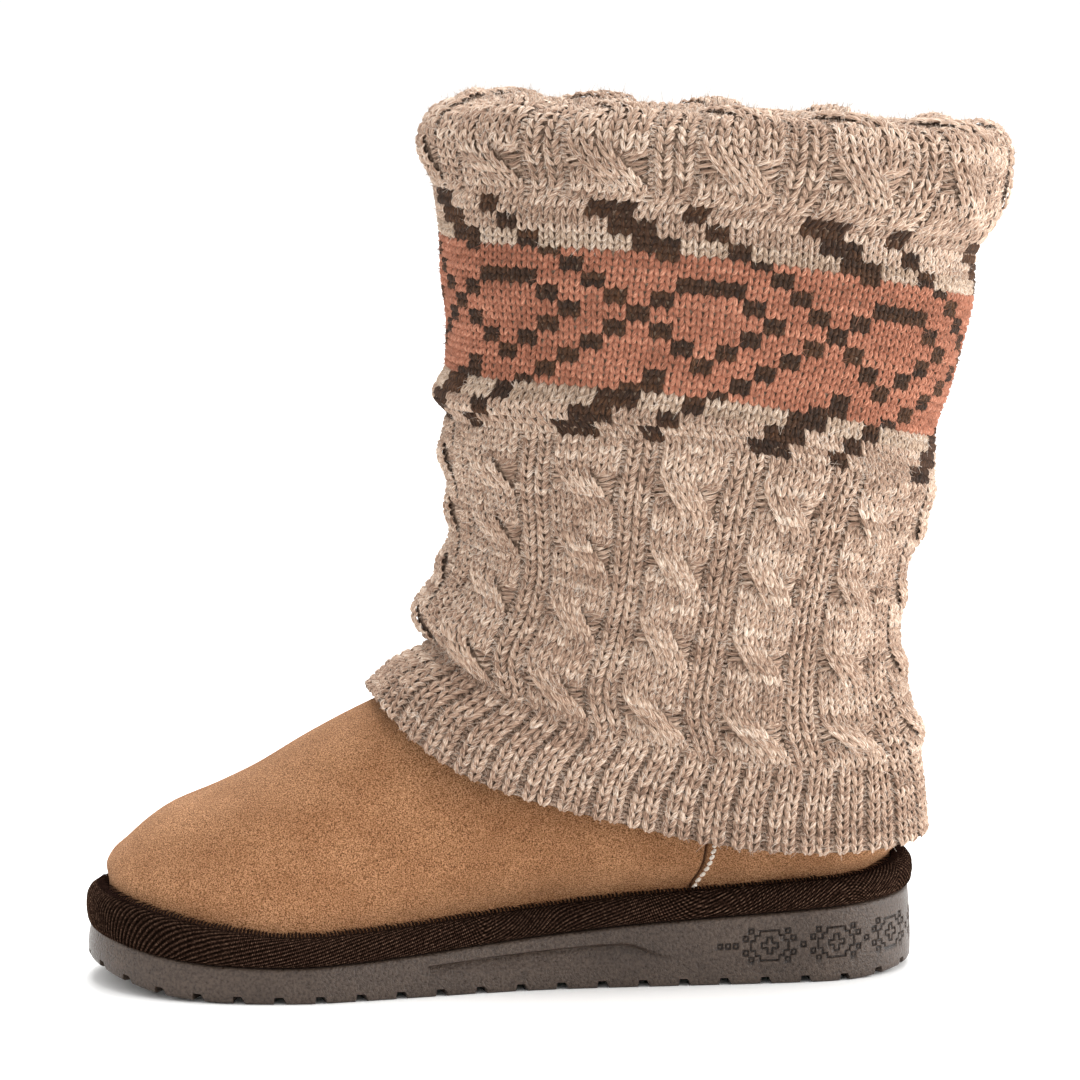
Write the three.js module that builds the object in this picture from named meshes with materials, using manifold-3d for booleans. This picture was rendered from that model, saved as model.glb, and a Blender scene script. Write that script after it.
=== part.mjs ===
// Cuff boot for the left foot: a napped boot on a foam-rubber platform, with a knitted cuff.
// Millimetres, +Z up, toe toward -X, outer side toward -Y.
// The origin is on the ground under the middle of the heel.

import * as THREE from 'three';
import Module from 'manifold-3d';
import { mergeVertices } from 'three/addons/utils/BufferGeometryUtils.js';

const wasm = await Module();
wasm.setup();

// ---------------------------------------------------------------- driving dimensions

const soleLength = 274;       // outsole, heel to toe
const heelBack = 36;          // from the origin to the back of the outsole
const gap = 0.3;              // between pieces that meet
const bindingWidth = 7.2;     // tape roll, from the upper outward
const bindingHeight = 9.2;    // tape roll, above the outsole
const soleInset = 1.4;        // the tape stands this far past the outsole
const soleFlare = 0.9;        // the outsole is this much wider at its foot
const upperWall = 2.4;
const knitWall = 4.2;
const toeSwing = 9;           // the toe swings toward the inner side
// The tape climbs this much more at the toe and at the heel, between these places along the foot.
const toeTape = { extra: 4.8, from: 205, to: 262 };
const heelTape = { extra: 2.6, from: 24, to: 2 };
const seam = { width: 2.8, proud: 1, sunk: 0.7 };    // raised seam on each side of the upper
const rope = { crown: 2, shoulder: 1.1, ditch: -1.2, rib: 0.5 };  // cable relief of the cuff

const lug = { pitch: 13.5, first: 13, width: 3.5, top: 2.4, deep: 2.5, long: 9.5 };
const channel = { width: 4, deep: 2, inset: 17, from: 42, to: 236 };

// Outsole: height of its top and bottom faces, along the foot from the heel.
const soleProfile = [
  { along: 0, top: 26.4, bottom: 2.2 },
  { along: 10, top: 26, bottom: 1.2 },
  { along: 28, top: 24.8, bottom: 0 },
  { along: 60, top: 22.9, bottom: 0 },
  { along: 100, top: 20.4, bottom: 0 },
  { along: 137, top: 17, bottom: 0 },
  { along: 190, top: 12.4, bottom: 0 },
  { along: 215, top: 11.5, bottom: 0 },
  { along: 236, top: 12, bottom: 0.3 },
  { along: 252, top: 13.6, bottom: 1.4 },
  { along: 264, top: 16, bottom: 4 },
  { along: 274, top: 19, bottom: 7.6 },
];

// Upper: level sections from the sole to the collar. Heights are above the outsole's top.
// Back and front are distances along the foot; widths are half-widths on the outer and inner side.
const upperSections = [
  { height: 0, back: 7, front: 267.4, backRound: 33, frontRound: 62,
    heel: 30, waistOut: 28.2, waistIn: 26, ballOut: 39.5, ballIn: 41 },
  { height: 9.6, back: 7, front: 267.4, backRound: 33, frontRound: 62,
    heel: 30, waistOut: 28.2, waistIn: 26, ballOut: 39.5, ballIn: 41 },
  { height: 15, back: 1.6, front: 268.2, backRound: 34, frontRound: 62,
    heel: 33, waistOut: 32, waistIn: 30.5, ballOut: 40.3, ballIn: 41.5 },
  { height: 20, back: 1.9, front: 266.4, backRound: 35, frontRound: 62,
    heel: 35, waistOut: 35.5, waistIn: 34, ballOut: 39.8, ballIn: 41 },
  { height: 26, back: 3, front: 261.2, backRound: 36, frontRound: 60,
    heel: 36.5, waistOut: 37.5, waistIn: 36.5, ballOut: 39, ballIn: 39.5 },
  { height: 32, back: 3.6, front: 255.4, backRound: 38, frontRound: 60,
    heel: 37.5, waistOut: 38.5, waistIn: 37.5, ballOut: 37.5, ballIn: 38 },
  { height: 38.2, back: 3.8, front: 246.7, backRound: 41, frontRound: 60,
    heel: 38, waistOut: 39.2, waistIn: 38.4, ballOut: 35.5, ballIn: 36 },
  { height: 43.2, back: 4.5, front: 233, backRound: 44, frontRound: 60,
    heel: 38.4, waistOut: 39.6, waistIn: 38.8, ballOut: 34.5, ballIn: 35 },
  { height: 48.4, back: 5.2, front: 220, backRound: 46, frontRound: 58,
    heel: 38.8, waistOut: 39.8, waistIn: 39, ballOut: 33, ballIn: 33.5 },
  { height: 56.2, back: 6.6, front: 204.5, backRound: 52, frontRound: 55,
    heel: 39.2, waistOut: 40, waistIn: 39.4, ballOut: 31.5, ballIn: 32 },
  { height: 62.6, back: 8, front: 191.5, backRound: 56, frontRound: 55,
    heel: 39.2, waistOut: 40, waistIn: 39.6, ballOut: 30.5, ballIn: 31 },
  { height: 66.8, back: 9, front: 182.5, backRound: 60, frontRound: 55,
    heel: 39.2, waistOut: 40, waistIn: 39.8, ballOut: 30, ballIn: 30.5 },
  { height: 72, back: 10.2, front: 169.5, backRound: 63, frontRound: 56,
    heel: 39.2, waistOut: 40, waistIn: 40, ballOut: 31, ballIn: 31 },
  { height: 80, back: 11.8, front: 155.6, backRound: 66, frontRound: 59,
    heel: 39.4, waistOut: 40.2, waistIn: 40.2, ballOut: 33.5, ballIn: 33.5 },
  { height: 90, back: 12.9, front: 148.8, backRound: 66, frontRound: 62,
    heel: 40.3, waistOut: 40.8, waistIn: 40.8, ballOut: 37, ballIn: 37 },
  { height: 106, back: 13.2, front: 145.6, backRound: 66.2, frontRound: 66.2,
    heel: 41.5, waistOut: 42, waistIn: 42, ballOut: 41, ballIn: 41 },
  { height: 140, back: 9, front: 144.6, backRound: 67.8, frontRound: 67.8,
    heel: 45.5, waistOut: 46, waistIn: 46, ballOut: 45.5, ballIn: 45.5 },
  { height: 190, back: 1, front: 145.6, backRound: 72.3, frontRound: 72.3,
    heel: 50, waistOut: 50, waistIn: 50, ballOut: 50, ballIn: 50 },
  { height: 254, back: -4, front: 147, backRound: 75.5, frontRound: 75.5,
    heel: 52.5, waistOut: 52.5, waistIn: 52.5, ballOut: 52.5, ballIn: 52.5 },
];
const seat = 23;              // upper sections count their height from this level
const collarTilt = 0.084;     // the collar falls this much per millimetre toward the back
const tiltStart = 90;         // and the sections below this height lie level

// Cuff: rows from the hem up to the rolled collar, over its crest and down inside the shaft.
// Front and back are distances along the foot, half is the half-width, blunt is the power of
// the oval, and the heights are those of the row at its front, at its sides and at its back.
// Droop lets the row hang lower between its sides and its front; rope is how far its cables show.
const cuffRows = [
  { zone: 'hem edge', front: 181.1, back: -3.3, half: 47.8, blunt: 3.1,
    frontHeight: 94.5, sideHeight: 53, backHeight: 46.4, droop: 16, rope: 0 },
  { zone: 'hem', front: 172.4, back: -2, half: 47.8, blunt: 3.1,
    frontHeight: 102.5, sideHeight: 66.4, backHeight: 59, droop: 14, rope: 0 },
  { zone: 'hem top', front: 158.8, back: -0.8, half: 47.4, blunt: 2.7,
    frontHeight: 110.8, sideHeight: 80, backHeight: 73, droop: 9, rope: 0 },
  { zone: 'front fold', front: 163, back: 1.6, half: 47.4, blunt: 2.4,
    frontHeight: 121, sideHeight: 93, backHeight: 84.5, droop: 4, rope: 0.3 },
  { zone: 'cables', front: 155.6, back: 5.6, half: 47.4, blunt: 2.2,
    frontHeight: 134, sideHeight: 111, backHeight: 100, droop: 0, rope: 1 },
  { zone: 'cables', front: 151.8, back: 7, half: 48.5, blunt: 2.2,
    frontHeight: 147.5, sideHeight: 130, backHeight: 116.5, droop: 0, rope: 1 },
  { zone: 'cables', front: 152.2, back: 5.2, half: 50.5, blunt: 2.2,
    frontHeight: 160, sideHeight: 147, backHeight: 131.5, droop: 0, rope: 1 },
  { zone: 'cables', front: 153.9, back: 0.2, half: 53.5, blunt: 2.2,
    frontHeight: 173, sideHeight: 164.5, backHeight: 147, droop: 0, rope: 1 },
  { zone: 'cables end', front: 153.4, back: -5.4, half: 56, blunt: 2.2,
    frontHeight: 185, sideHeight: 181, backHeight: 161, droop: 0, rope: 0.6 },
  { zone: 'band fold', front: 159.2, back: -6, half: 57.5, blunt: 2.2,
    frontHeight: 192.5, sideHeight: 188.5, backHeight: 169, droop: 0, rope: 0.2 },
  { zone: 'band', front: 154.8, back: -5.8, half: 59, blunt: 2.2,
    frontHeight: 201.5, sideHeight: 196.8, backHeight: 177.5, droop: 0, rope: 0 },
  { zone: 'band', front: 154.4, back: -10.4, half: 62, blunt: 2.2,
    frontHeight: 216, sideHeight: 212, backHeight: 193, droop: 0, rope: 0 },
  { zone: 'band', front: 156.1, back: -14.6, half: 64.5, blunt: 2.2,
    frontHeight: 231, sideHeight: 227.5, backHeight: 208.5, droop: 0, rope: 0 },
  { zone: 'band', front: 156.6, back: -18, half: 66, blunt: 2.2,
    frontHeight: 245.5, sideHeight: 242.3, backHeight: 224, droop: 0, rope: 0 },
  { zone: 'band end', front: 158.1, back: -18.4, half: 67, blunt: 2.2,
    frontHeight: 257.5, sideHeight: 254, backHeight: 236, droop: 0, rope: 0.2 },
  { zone: 'roll', front: 159.7, back: -23.4, half: 68.5, blunt: 2.2,
    frontHeight: 266, sideHeight: 261.5, backHeight: 247.5, droop: 0, rope: 1 },
  { zone: 'roll', front: 162.8, back: -27.6, half: 70.5, blunt: 2.2,
    frontHeight: 278, sideHeight: 272, backHeight: 262, droop: 0, rope: 1 },
  { zone: 'roll', front: 160, back: -28.8, half: 69.5, blunt: 2.2,
    frontHeight: 286, sideHeight: 278.8, backHeight: 270.6, droop: 0, rope: 1 },
  { zone: 'roll', front: 151.4, back: -26, half: 65, blunt: 2.2,
    frontHeight: 289.4, sideHeight: 282, backHeight: 275.8, droop: 0, rope: 1 },
  { zone: 'crest', front: 144, back: -16.5, half: 57.5, blunt: 2.2,
    frontHeight: 290.4, sideHeight: 283.2, backHeight: 277.2, droop: 0, rope: 0.7 },
  { zone: 'roll inside', front: 139, back: -3, half: 49, blunt: 2.2,
    frontHeight: 288, sideHeight: 281, backHeight: 274.6, droop: 0, rope: 0.3 },
  { zone: 'roll inside', front: 137.8, back: 3.4, half: 43.8, blunt: 2.2,
    frontHeight: 280, sideHeight: 274, backHeight: 267, droop: 0, rope: 0 },
  { zone: 'inside', front: 138.6, back: 5.6, half: 43.6, blunt: 2.2,
    frontHeight: 264, sideHeight: 258, backHeight: 251, droop: 0, rope: 0 },
  { zone: 'inside end', front: 138.4, back: 6.6, half: 43.4, blunt: 2.2,
    frontHeight: 248, sideHeight: 242, backHeight: 235, droop: 0, rope: 0 },
];

// ---------------------------------------------------------------- curves and outlines

// A smooth function through one column of a table, placed by another column.
// It never swings past the values of the two rows that it runs between.
function curveThrough(rows, place, column) {
  const at = rows.map((row) => row[place]);
  const value = rows.map((row) => row[column]);
  const rise = (i) => (value[i + 1] - value[i]) / (at[i + 1] - at[i]);
  const slope = value.map((_, i) => {
    const before = rise(Math.max(i - 1, 0));
    const after = rise(Math.min(i, rows.length - 2));
    return before * after <= 0 ? 0 : 2 * before * after / (before + after);
  });
  return (x) => {
    const spot = THREE.MathUtils.clamp(x, at[0], at.at(-1));
    let i = 0;
    while (i < rows.length - 2 && spot > at[i + 1]) i += 1;
    const span = at[i + 1] - at[i];
    const t = (spot - at[i]) / span;
    const h = (1 - t) * (1 - t);
    return value[i] * h * (1 + 2 * t) + slope[i] * span * h * t
      + value[i + 1] * t * t * (3 - 2 * t) + slope[i + 1] * span * t * t * (t - 1);
  };
}

const soleTop = curveThrough(soleProfile, 'along', 'top');
const soleBottom = curveThrough(soleProfile, 'along', 'bottom');
const alongOf = (x) => heelBack - x;

const sideStations = 24;      // outline points on each side of the foot
const endPower = 2.2;         // 2 is a circle; more is blunter

// How far a round end has opened, at a distance from its tip.
function roundEnd(distance, length) {
  const rest = Math.max(0, 1 - distance / length);
  return Math.pow(1 - Math.pow(rest, endPower), 1 / endPower);
}

// How far the middle of the foot stands toward the inner side.
const swingOf = (along) => toeSwing * Math.pow(Math.max(0, along / soleLength), 3);

// How far across the foot a section reaches, on its inner (+1) or outer (-1) side.
function reachOf(section, side) {
  const { back, front, backRound, frontRound, heel } = section;
  const width = curveThrough([
    { part: 0.18, width: heel },
    { part: 0.43, width: side > 0 ? section.waistIn : section.waistOut },
    { part: 0.76, width: side > 0 ? section.ballIn : section.ballOut },
  ], 'part', 'width');
  return (along) => {
    const opened = roundEnd(along - back, backRound) * roundEnd(front - along, frontRound);
    return swingOf(along) + side * width((along - back) / (front - back)) * opened;
  };
}

// Closed outline of a level section: heel tip, inner side, toe tip, outer side.
function sectionOutline(section) {
  const { back, front } = section;
  const inner = reachOf(section, 1);
  const outer = reachOf(section, -1);
  const points = [];
  for (let i = 0; i < 2 * sideStations; i += 1) {
    const part = (1 - Math.cos(Math.PI * i / sideStations)) / 2;
    const along = back + (front - back) * part;
    const y = i <= sideStations ? inner(along) : outer(along);
    points.push(new THREE.Vector2(heelBack - along, y));
  }
  return points;
}

// The outline moved outward by a distance.
function offsetOutline(points, distance) {
  const count = points.length;
  return points.map((point, i) => {
    const before = points[(i + count - 1) % count];
    const after = points[(i + 1) % count];
    const along = after.clone().sub(before).normalize();
    return new THREE.Vector2(point.x + along.y * distance, point.y - along.x * distance);
  });
}

const featherLine = sectionOutline(upperSections[0]);
const soleEdge = offsetOutline(featherLine, gap + bindingWidth - soleInset);

// ---------------------------------------------------------------- solids

// Closed body from rings of equal count; each ring is joined to the next.
// Wrapped ends join the last ring to the first, and closed ends get strips across the ring
// between facing points, counted both ways from the first.
function loft(rings, ends) {
  const count = rings[0].length;
  const positions = rings.flat().flatMap((p) => [p.x, p.y, p.z]);
  const faces = [];
  const bands = ends === 'wrapped' ? rings.length : rings.length - 1;
  for (let r = 0; r < bands; r += 1) {
    const low = r * count;
    const high = ((r + 1) % rings.length) * count;
    for (let i = 0; i < count; i += 1) {
      const j = (i + 1) % count;
      faces.push(low + i, low + j, high + j, low + i, high + j, high + i);
    }
  }
  if (ends === 'closed') {
    const top = (rings.length - 1) * count;
    const strips = [];
    for (let i = 0; i < count / 2; i += 1) {
      const across = count - i - 1;
      strips.push([i, i + 1, across], [i, across, (across + 1) % count]);
    }
    for (const [p, q, s] of strips) {
      if (p === q || q === s || s === p) continue;
      faces.push(p, s, q);
      faces.push(top + p, top + q, top + s);
    }
  }
  const geometry = new THREE.BufferGeometry();
  geometry.setAttribute('position', new THREE.Float32BufferAttribute(positions, 3));
  geometry.setIndex(faces);
  return geometry;
}

const ringOf = (outline, height) => outline.map((p) => new THREE.Vector3(p.x, p.y, height(p)));

function toSolid(geometry) {
  const bare = geometry.clone();
  bare.deleteAttribute('normal');
  bare.deleteAttribute('uv');
  const merged = mergeVertices(bare, 1e-4);
  return new wasm.Manifold(new wasm.Mesh({
    numProp: 3,
    vertProperties: new Float32Array(merged.attributes.position.array),
    triVerts: new Uint32Array(merged.index.array),
  }));
}

function toGeometry(solid) {
  const { vertProperties, triVerts } = solid.getMesh();
  const geometry = new THREE.BufferGeometry();
  geometry.setAttribute('position', new THREE.Float32BufferAttribute(vertProperties, 3));
  geometry.setIndex(new THREE.BufferAttribute(triVerts, 1));
  return geometry;
}

// A flat shape pushed along a direction: shape X runs along "right", shape Y along "up".
function prism(corners, depth, origin, right, up) {
  const shape = new THREE.Shape(corners.map(([x, y]) => new THREE.Vector2(x, y)));
  const geometry = new THREE.ExtrudeGeometry(shape, { depth, bevelEnabled: false });
  const ahead = new THREE.Vector3().crossVectors(right, up);
  geometry.applyMatrix4(new THREE.Matrix4().makeBasis(right, up, ahead).setPosition(origin));
  return toSolid(geometry);
}

// ---------------------------------------------------------------- outsole

const up = new THREE.Vector3(0, 0, 1);
const bottomOf = (p) => soleBottom(alongOf(p.x));
const topOf = (p) => soleTop(alongOf(p.x));

function soleBlock() {
  const foot = offsetOutline(soleEdge, soleFlare);
  return toSolid(loft([
    ringOf(offsetOutline(foot, -1.2), bottomOf),
    ringOf(foot, (p) => bottomOf(p) + 1.2),
    ringOf(soleEdge, (p) => topOf(p) - 1),
    ringOf(offsetOutline(soleEdge, -1), topOf),
  ], 'closed'));
}

// Notches between the lugs, evenly spaced round the edge and square to it.
function edgeNotches() {
  const line = offsetOutline(soleEdge, soleFlare);
  const curve = new THREE.CatmullRomCurve3(line.map((p) => new THREE.Vector3(p.x, p.y, 0)), true);
  const total = curve.getLength();
  const count = Math.round(total / lug.pitch);
  const corners = [
    [-lug.width / 2 - 0.4, -1], [lug.width / 2 + 0.4, -1],
    [lug.top / 2, lug.deep], [-lug.top / 2, lug.deep],
  ];
  const cutters = [];
  for (let i = 0; i < count; i += 1) {
    const place = ((i * lug.pitch + lug.first) / total) % 1;
    const point = curve.getPointAt(place);
    const along = curve.getTangentAt(place);
    const outward = new THREE.Vector3().crossVectors(along, up);
    const start = point.clone().addScaledVector(outward, -lug.long);
    start.z = soleBottom(alongOf(point.x));
    cutters.push(prism(corners, lug.long + 4, start, along, up));
  }
  return cutters;
}

// Shallow channels across the tread, between the rows of edge lugs.
function treadChannels() {
  const cutters = [];
  for (let along = channel.from; along <= channel.to; along += lug.pitch) {
    const i = soleEdge.findIndex((p) => alongOf(p.x) >= along);
    const inner = soleEdge[i];
    const outer = soleEdge[soleEdge.length - i];
    const width = inner.y - outer.y - 2 * channel.inset;
    const origin = new THREE.Vector3(heelBack - along, outer.y + channel.inset, soleBottom(along));
    const half = channel.width / 2;
    const corners = [[-half, -3], [half, -3], [half, channel.deep], [-half, channel.deep]];
    cutters.push(prism(corners, width, origin, new THREE.Vector3(-1, 0, 0), up));
  }
  return cutters;
}

// Scoop in the waist of the sole: deepest under its roof, fading out at its foot.
const scoopFoot = 7.2;
const scoopSections = [
  { along: 80, roof: 7.8, deep: 0.4 },
  { along: 95, roof: 14.6, deep: 2.2 },
  { along: 124, roof: 13, deep: 2.6 },
  { along: 164, roof: 10.8, deep: 1.4 },
];

function waistScoop(side) {
  const edge = soleEdge.filter((p) => p.y * side > 10);
  const places = edge.map((p) => ({ along: alongOf(p.x), y: p.y }));
  places.sort((a, b) => a.along - b.along);
  const wallAt = curveThrough(places, 'along', 'y');
  const rings = scoopSections.map(({ along, roof, deep }) => {
    const corner = (height, inward) => new THREE.Vector3(
      heelBack - along, wallAt(along) - side * inward, height,
    );
    return [
      corner(roof + 0.6, -5), corner(scoopFoot, -5), corner(scoopFoot, -1),
      corner(roof - 0.4, deep), corner(roof, deep * 0.8), corner(roof + 0.3, -1),
    ];
  });
  if (side < 0) rings.reverse();
  return toSolid(loft(rings, 'closed'));
}

function makeOutsole() {
  let body = soleBlock();
  for (const cutter of [...edgeNotches(), ...treadChannels()]) body = body.subtract(cutter);
  for (const side of [-1, 1]) body = body.subtract(waistScoop(side));
  return toGeometry(body);
}

// ---------------------------------------------------------------- tape binding

// Section of the rolled tape, as parts of its width and of its height.
const bindingSection = [
  { out: 0, up: 0 }, { out: 0.64, up: 0 }, { out: 0.9, up: 0.13 }, { out: 1, up: 0.42 },
  { out: 0.96, up: 0.74 }, { out: 0.72, up: 0.95 }, { out: 0.38, up: 1 }, { out: 0.06, up: 0.86 },
];

// Extra height of the tape, which climbs round the toe and round the heel.
function tapeClimb(along) {
  const { smoothstep } = THREE.MathUtils;
  return toeTape.extra * smoothstep(along, toeTape.from, toeTape.to)
    + heelTape.extra * (1 - smoothstep(along, heelTape.to, heelTape.from));
}

function makeBinding() {
  const rings = bindingSection.map((spot) => ringOf(
    offsetOutline(featherLine, gap + spot.out * bindingWidth),
    (p) => topOf(p) + gap + spot.up * (bindingHeight + tapeClimb(alongOf(p.x))),
  ));
  return loft(rings, 'wrapped');
}

// ---------------------------------------------------------------- upper

const sectionKeys = Object.keys(upperSections[0]).filter((key) => key !== 'height');
const sectionCurves = sectionKeys.map((key) => [key, curveThrough(upperSections, 'height', key)]);
const sectionAt = (height) => Object.fromEntries(sectionCurves.map(([key, f]) => [key, f(height)]));

const shaftTop = upperSections.at(-1).height;
const collarFront = upperSections.at(-1).front;

// Near the sole the sections follow its rise and fall, and above the tape they climb with it;
// the collar tilts toward the back.
function upperHeight(along, height) {
  const fade = Math.max(0, 1 - height / 70);
  const tilt = collarTilt * THREE.MathUtils.smoothstep(height, tiltStart, 250);
  const wallTop = upperSections[1].height;
  const climb = Math.min(height / wallTop, Math.max(0, 1 - (height - wallTop) / 30));
  return seat + gap + height + (soleTop(along) - seat) * fade * fade * (3 - 2 * fade)
    + tapeClimb(along) * climb - tilt * (collarFront - along);
}

function upperRing(height) {
  return ringOf(sectionOutline(sectionAt(height)), (p) => upperHeight(alongOf(p.x), height));
}

// The same rings moved inward, square to the surface, by the wall at each ring and point.
function innerRings(rings, wallAt) {
  const count = rings[0].length;
  return rings.map((ring, r) => ring.map((point, i) => {
    const below = rings[Math.max(r - 1, 0)][i];
    const above = rings[Math.min(r + 1, rings.length - 1)][i];
    const before = ring[(i + count - 1) % count];
    const after = ring[(i + 1) % count];
    const rise = above.clone().sub(below);
    const along = after.clone().sub(before);
    const outward = new THREE.Vector3().crossVectors(along, rise).normalize();
    const end = r === 0 || r === rings.length - 1;
    if (end) outward.setZ(0).normalize();
    return point.clone().addScaledVector(outward, -wallAt(r, i));
  }));
}

const upperLevels = [
  0, 9.6, 12.5, 16, 21, 27, 33, 38, 43, 48, 55, 63, 72, 82, 96, 124, 180, shaftTop,
];

// Line of the side seam, from the tape to under the cuff.
const seamLine = [
  { height: 9.8, along: 78.2 }, { height: 12.5, along: 77 }, { height: 16, along: 75 },
  { height: 20, along: 73.6 }, { height: 26, along: 72.6 }, { height: 33, along: 72.2 },
  { height: 40, along: 72 },
];

// Raised seam on one side of the upper, following its surface.
function sideSeam(side) {
  const onUpper = (along, height, proud) => {
    const y = reachOf(sectionAt(height), side)(along) + side * proud;
    return new THREE.Vector3(heelBack - along, y, upperHeight(along, height));
  };
  const half = seam.width / 2;
  const rings = seamLine.map(({ height, along }) => [
    onUpper(along + half, height, -seam.sunk), onUpper(along - half, height, -seam.sunk),
    onUpper(along - half * 0.6, height, seam.proud), onUpper(along + half * 0.6, height, seam.proud),
  ]);
  if (side > 0) rings.reverse();
  return toSolid(loft(rings, 'closed'));
}

function makeUpper() {
  const outside = upperLevels.map(upperRing);
  const coarse = [0, 1, 3, 4, 5, 6, 8, 10, 12, 14, 16, outside.length - 1];
  const inside = innerRings(outside, () => upperWall).filter((_, place) => coarse.includes(place));
  let body = toSolid(loft([...outside, ...inside.reverse()], 'wrapped'));
  for (const side of [-1, 1]) body = body.add(sideSeam(side));
  return toGeometry(body);
}

// ---------------------------------------------------------------- insole

function makeInsole() {
  const edge = offsetOutline(featherLine, -upperWall - 0.9);
  const thick = 4;
  return loft([
    ringOf(edge, (p) => topOf(p) + gap),
    ringOf(edge, (p) => topOf(p) + gap + thick - 1),
    ringOf(offsetOutline(edge, -1), (p) => topOf(p) + gap + thick),
  ], 'closed');
}

// ---------------------------------------------------------------- knitted cuff

const panelCount = 12;        // cables round the cuff, each with a ditch, a rib and a ditch
const stitches = 10;          // across one panel
const panelStart = 0.044;     // where the first panel starts, as a part of the way round
const panelColumns = [
  { stitch: 0.5, relief: rope.ditch }, { stitch: 2, relief: rope.shoulder },
  { stitch: 4, relief: rope.crown }, { stitch: 6, relief: rope.shoulder },
  { stitch: 7.5, relief: rope.ditch }, { stitch: 9, relief: rope.rib },
];
const ovalSteps = 240;        // fine points of a row, before its columns are spaced out

// Closed ring of the cuff, from the back round by the inner side, with a point at each column.
function cuffRing(row) {
  const bulge = (value) => Math.sign(value) * Math.pow(Math.abs(value), 2 / row.blunt);
  const tilt = (row.frontHeight - row.backHeight) / 2;
  const dip = (row.frontHeight + row.backHeight) / 2 - row.sideHeight;
  const oval = [];
  for (let i = 0; i <= ovalSteps; i += 1) {
    const angle = 2 * Math.PI * i / ovalSteps;
    const ahead = -bulge(Math.cos(angle));
    const droop = ahead > 0 ? row.droop * (ahead ** 6 - ahead ** 2) : 0;
    const along = (row.front + row.back) / 2 + ahead * (row.front - row.back) / 2;
    oval.push(new THREE.Vector3(
      heelBack - along,
      swingOf(along) + row.half * bulge(Math.sin(angle)),
      row.sideHeight + tilt * ahead + dip * ahead * ahead + droop,
    ));
  }
  const walked = [0];
  for (let i = 1; i < oval.length; i += 1) {
    walked.push(walked[i - 1] + oval[i].distanceTo(oval[i - 1]));
  }
  const ring = [];
  for (let panel = 0; panel < panelCount; panel += 1) {
    for (const { stitch } of panelColumns) {
      const part = (panelStart + (panel + stitch / stitches) / panelCount) % 1;
      const distance = part * walked.at(-1);
      const i = Math.min(walked.findIndex((way) => way > distance), ovalSteps);
      const t = (distance - walked[i - 1]) / (walked[i] - walked[i - 1]);
      ring.push(oval[i - 1].clone().lerp(oval[i], t));
    }
  }
  return ring;
}

function makeCuff() {
  const middle = cuffRows.map(cuffRing);
  const outside = innerRings(middle, (r, i) => (
    -cuffRows[r].rope * panelColumns[i % panelColumns.length].relief
  ));
  const coarse = [0, 1, 2, 3, 5, 8, 11, 14, 16, 17, 18, 19, 20, 21, middle.length - 1];
  const inside = innerRings(middle, () => knitWall).filter((_, place) => coarse.includes(place));
  return loft([...outside, ...inside.reverse()], 'wrapped');
}

// ---------------------------------------------------------------- the boot

const boot = new THREE.Group();

function addPart(name, geometry, color, roughness) {
  const material = new THREE.MeshStandardMaterial({ color, roughness, metalness: 0 });
  const mesh = new THREE.Mesh(geometry, material);
  mesh.name = name;
  boot.add(mesh);
}

addPart('outsole', makeOutsole(), 0x5f5650, 0.85);
addPart('sole_binding', makeBinding(), 0x2e211d, 0.9);
addPart('insole', makeInsole(), 0xb79a78, 0.95);
addPart('upper', makeUpper(), 0xa87b52, 0.95);
addPart('knit_cuff', makeCuff(), 0xbba58f, 1);

export default boot;
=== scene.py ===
# Cuff boot: a napped leather boot on a foam rubber platform, with a knitted cuff.
# Lengths in the sections are millimetres; meshes are made in metres.

import math

import bmesh
import bpy
import numpy as np
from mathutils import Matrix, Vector


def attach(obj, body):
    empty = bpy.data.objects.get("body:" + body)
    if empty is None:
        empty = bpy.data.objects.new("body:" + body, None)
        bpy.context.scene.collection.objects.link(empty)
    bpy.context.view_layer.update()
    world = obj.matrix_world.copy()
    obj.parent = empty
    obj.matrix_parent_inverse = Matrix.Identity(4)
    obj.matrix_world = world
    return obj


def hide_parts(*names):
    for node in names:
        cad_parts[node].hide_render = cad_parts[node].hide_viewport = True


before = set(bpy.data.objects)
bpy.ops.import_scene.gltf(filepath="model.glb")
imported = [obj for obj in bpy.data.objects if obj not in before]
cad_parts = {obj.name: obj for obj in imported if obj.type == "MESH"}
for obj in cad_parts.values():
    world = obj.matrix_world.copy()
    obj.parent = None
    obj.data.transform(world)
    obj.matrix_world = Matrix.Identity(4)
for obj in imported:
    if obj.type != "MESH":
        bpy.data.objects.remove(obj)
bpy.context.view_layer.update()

# --- camera, floor and light ---
# A pale floor under studio light: a large soft source on the heel's side, a weak fill at the
# toe, one behind, one low and one above, in a bright surround.

camera_turn, camera_raise, camera_reach = math.radians(-9), math.radians(8.6), 1.9
looked_at = Vector((-0.093, 0, 0.150))
surround_colour, surround_power = (1, 0.995, 0.99, 1), 1.06
lamps = (  # name, place, width and watts
    ("key", (2.45, -0.65, 0.8), 2.0, 80), ("side", (-2.0, -0.8, 1.3), 1.2, 4),
    ("back", (0.3, 1.9, 2.0), 1.6, 68), ("low", (1.3, -1.6, 0.12), 0.9, 6),
    ("top", (0.0, 0.1, 2.3), 1.2, 26))


def placed(name, data):
    """A new object that holds the data, put in the scene."""
    thing = bpy.data.objects.new(name, data)
    bpy.context.scene.collection.objects.link(thing)
    return thing


def feed(tree, node, inputs):
    """Sets inputs of a node, by name or number, or joins them to sockets."""
    for key, value in inputs.items():
        if hasattr(value, "is_linked"):
            tree.links.new(value, node.inputs[key])
        else:
            node.inputs[key].default_value = value


def add_node(tree, kind, inputs=None, **settings):
    node = tree.nodes.new(kind)
    for key, value in settings.items():
        setattr(node, key, value)
    feed(tree, node, inputs or {})
    return node


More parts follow.
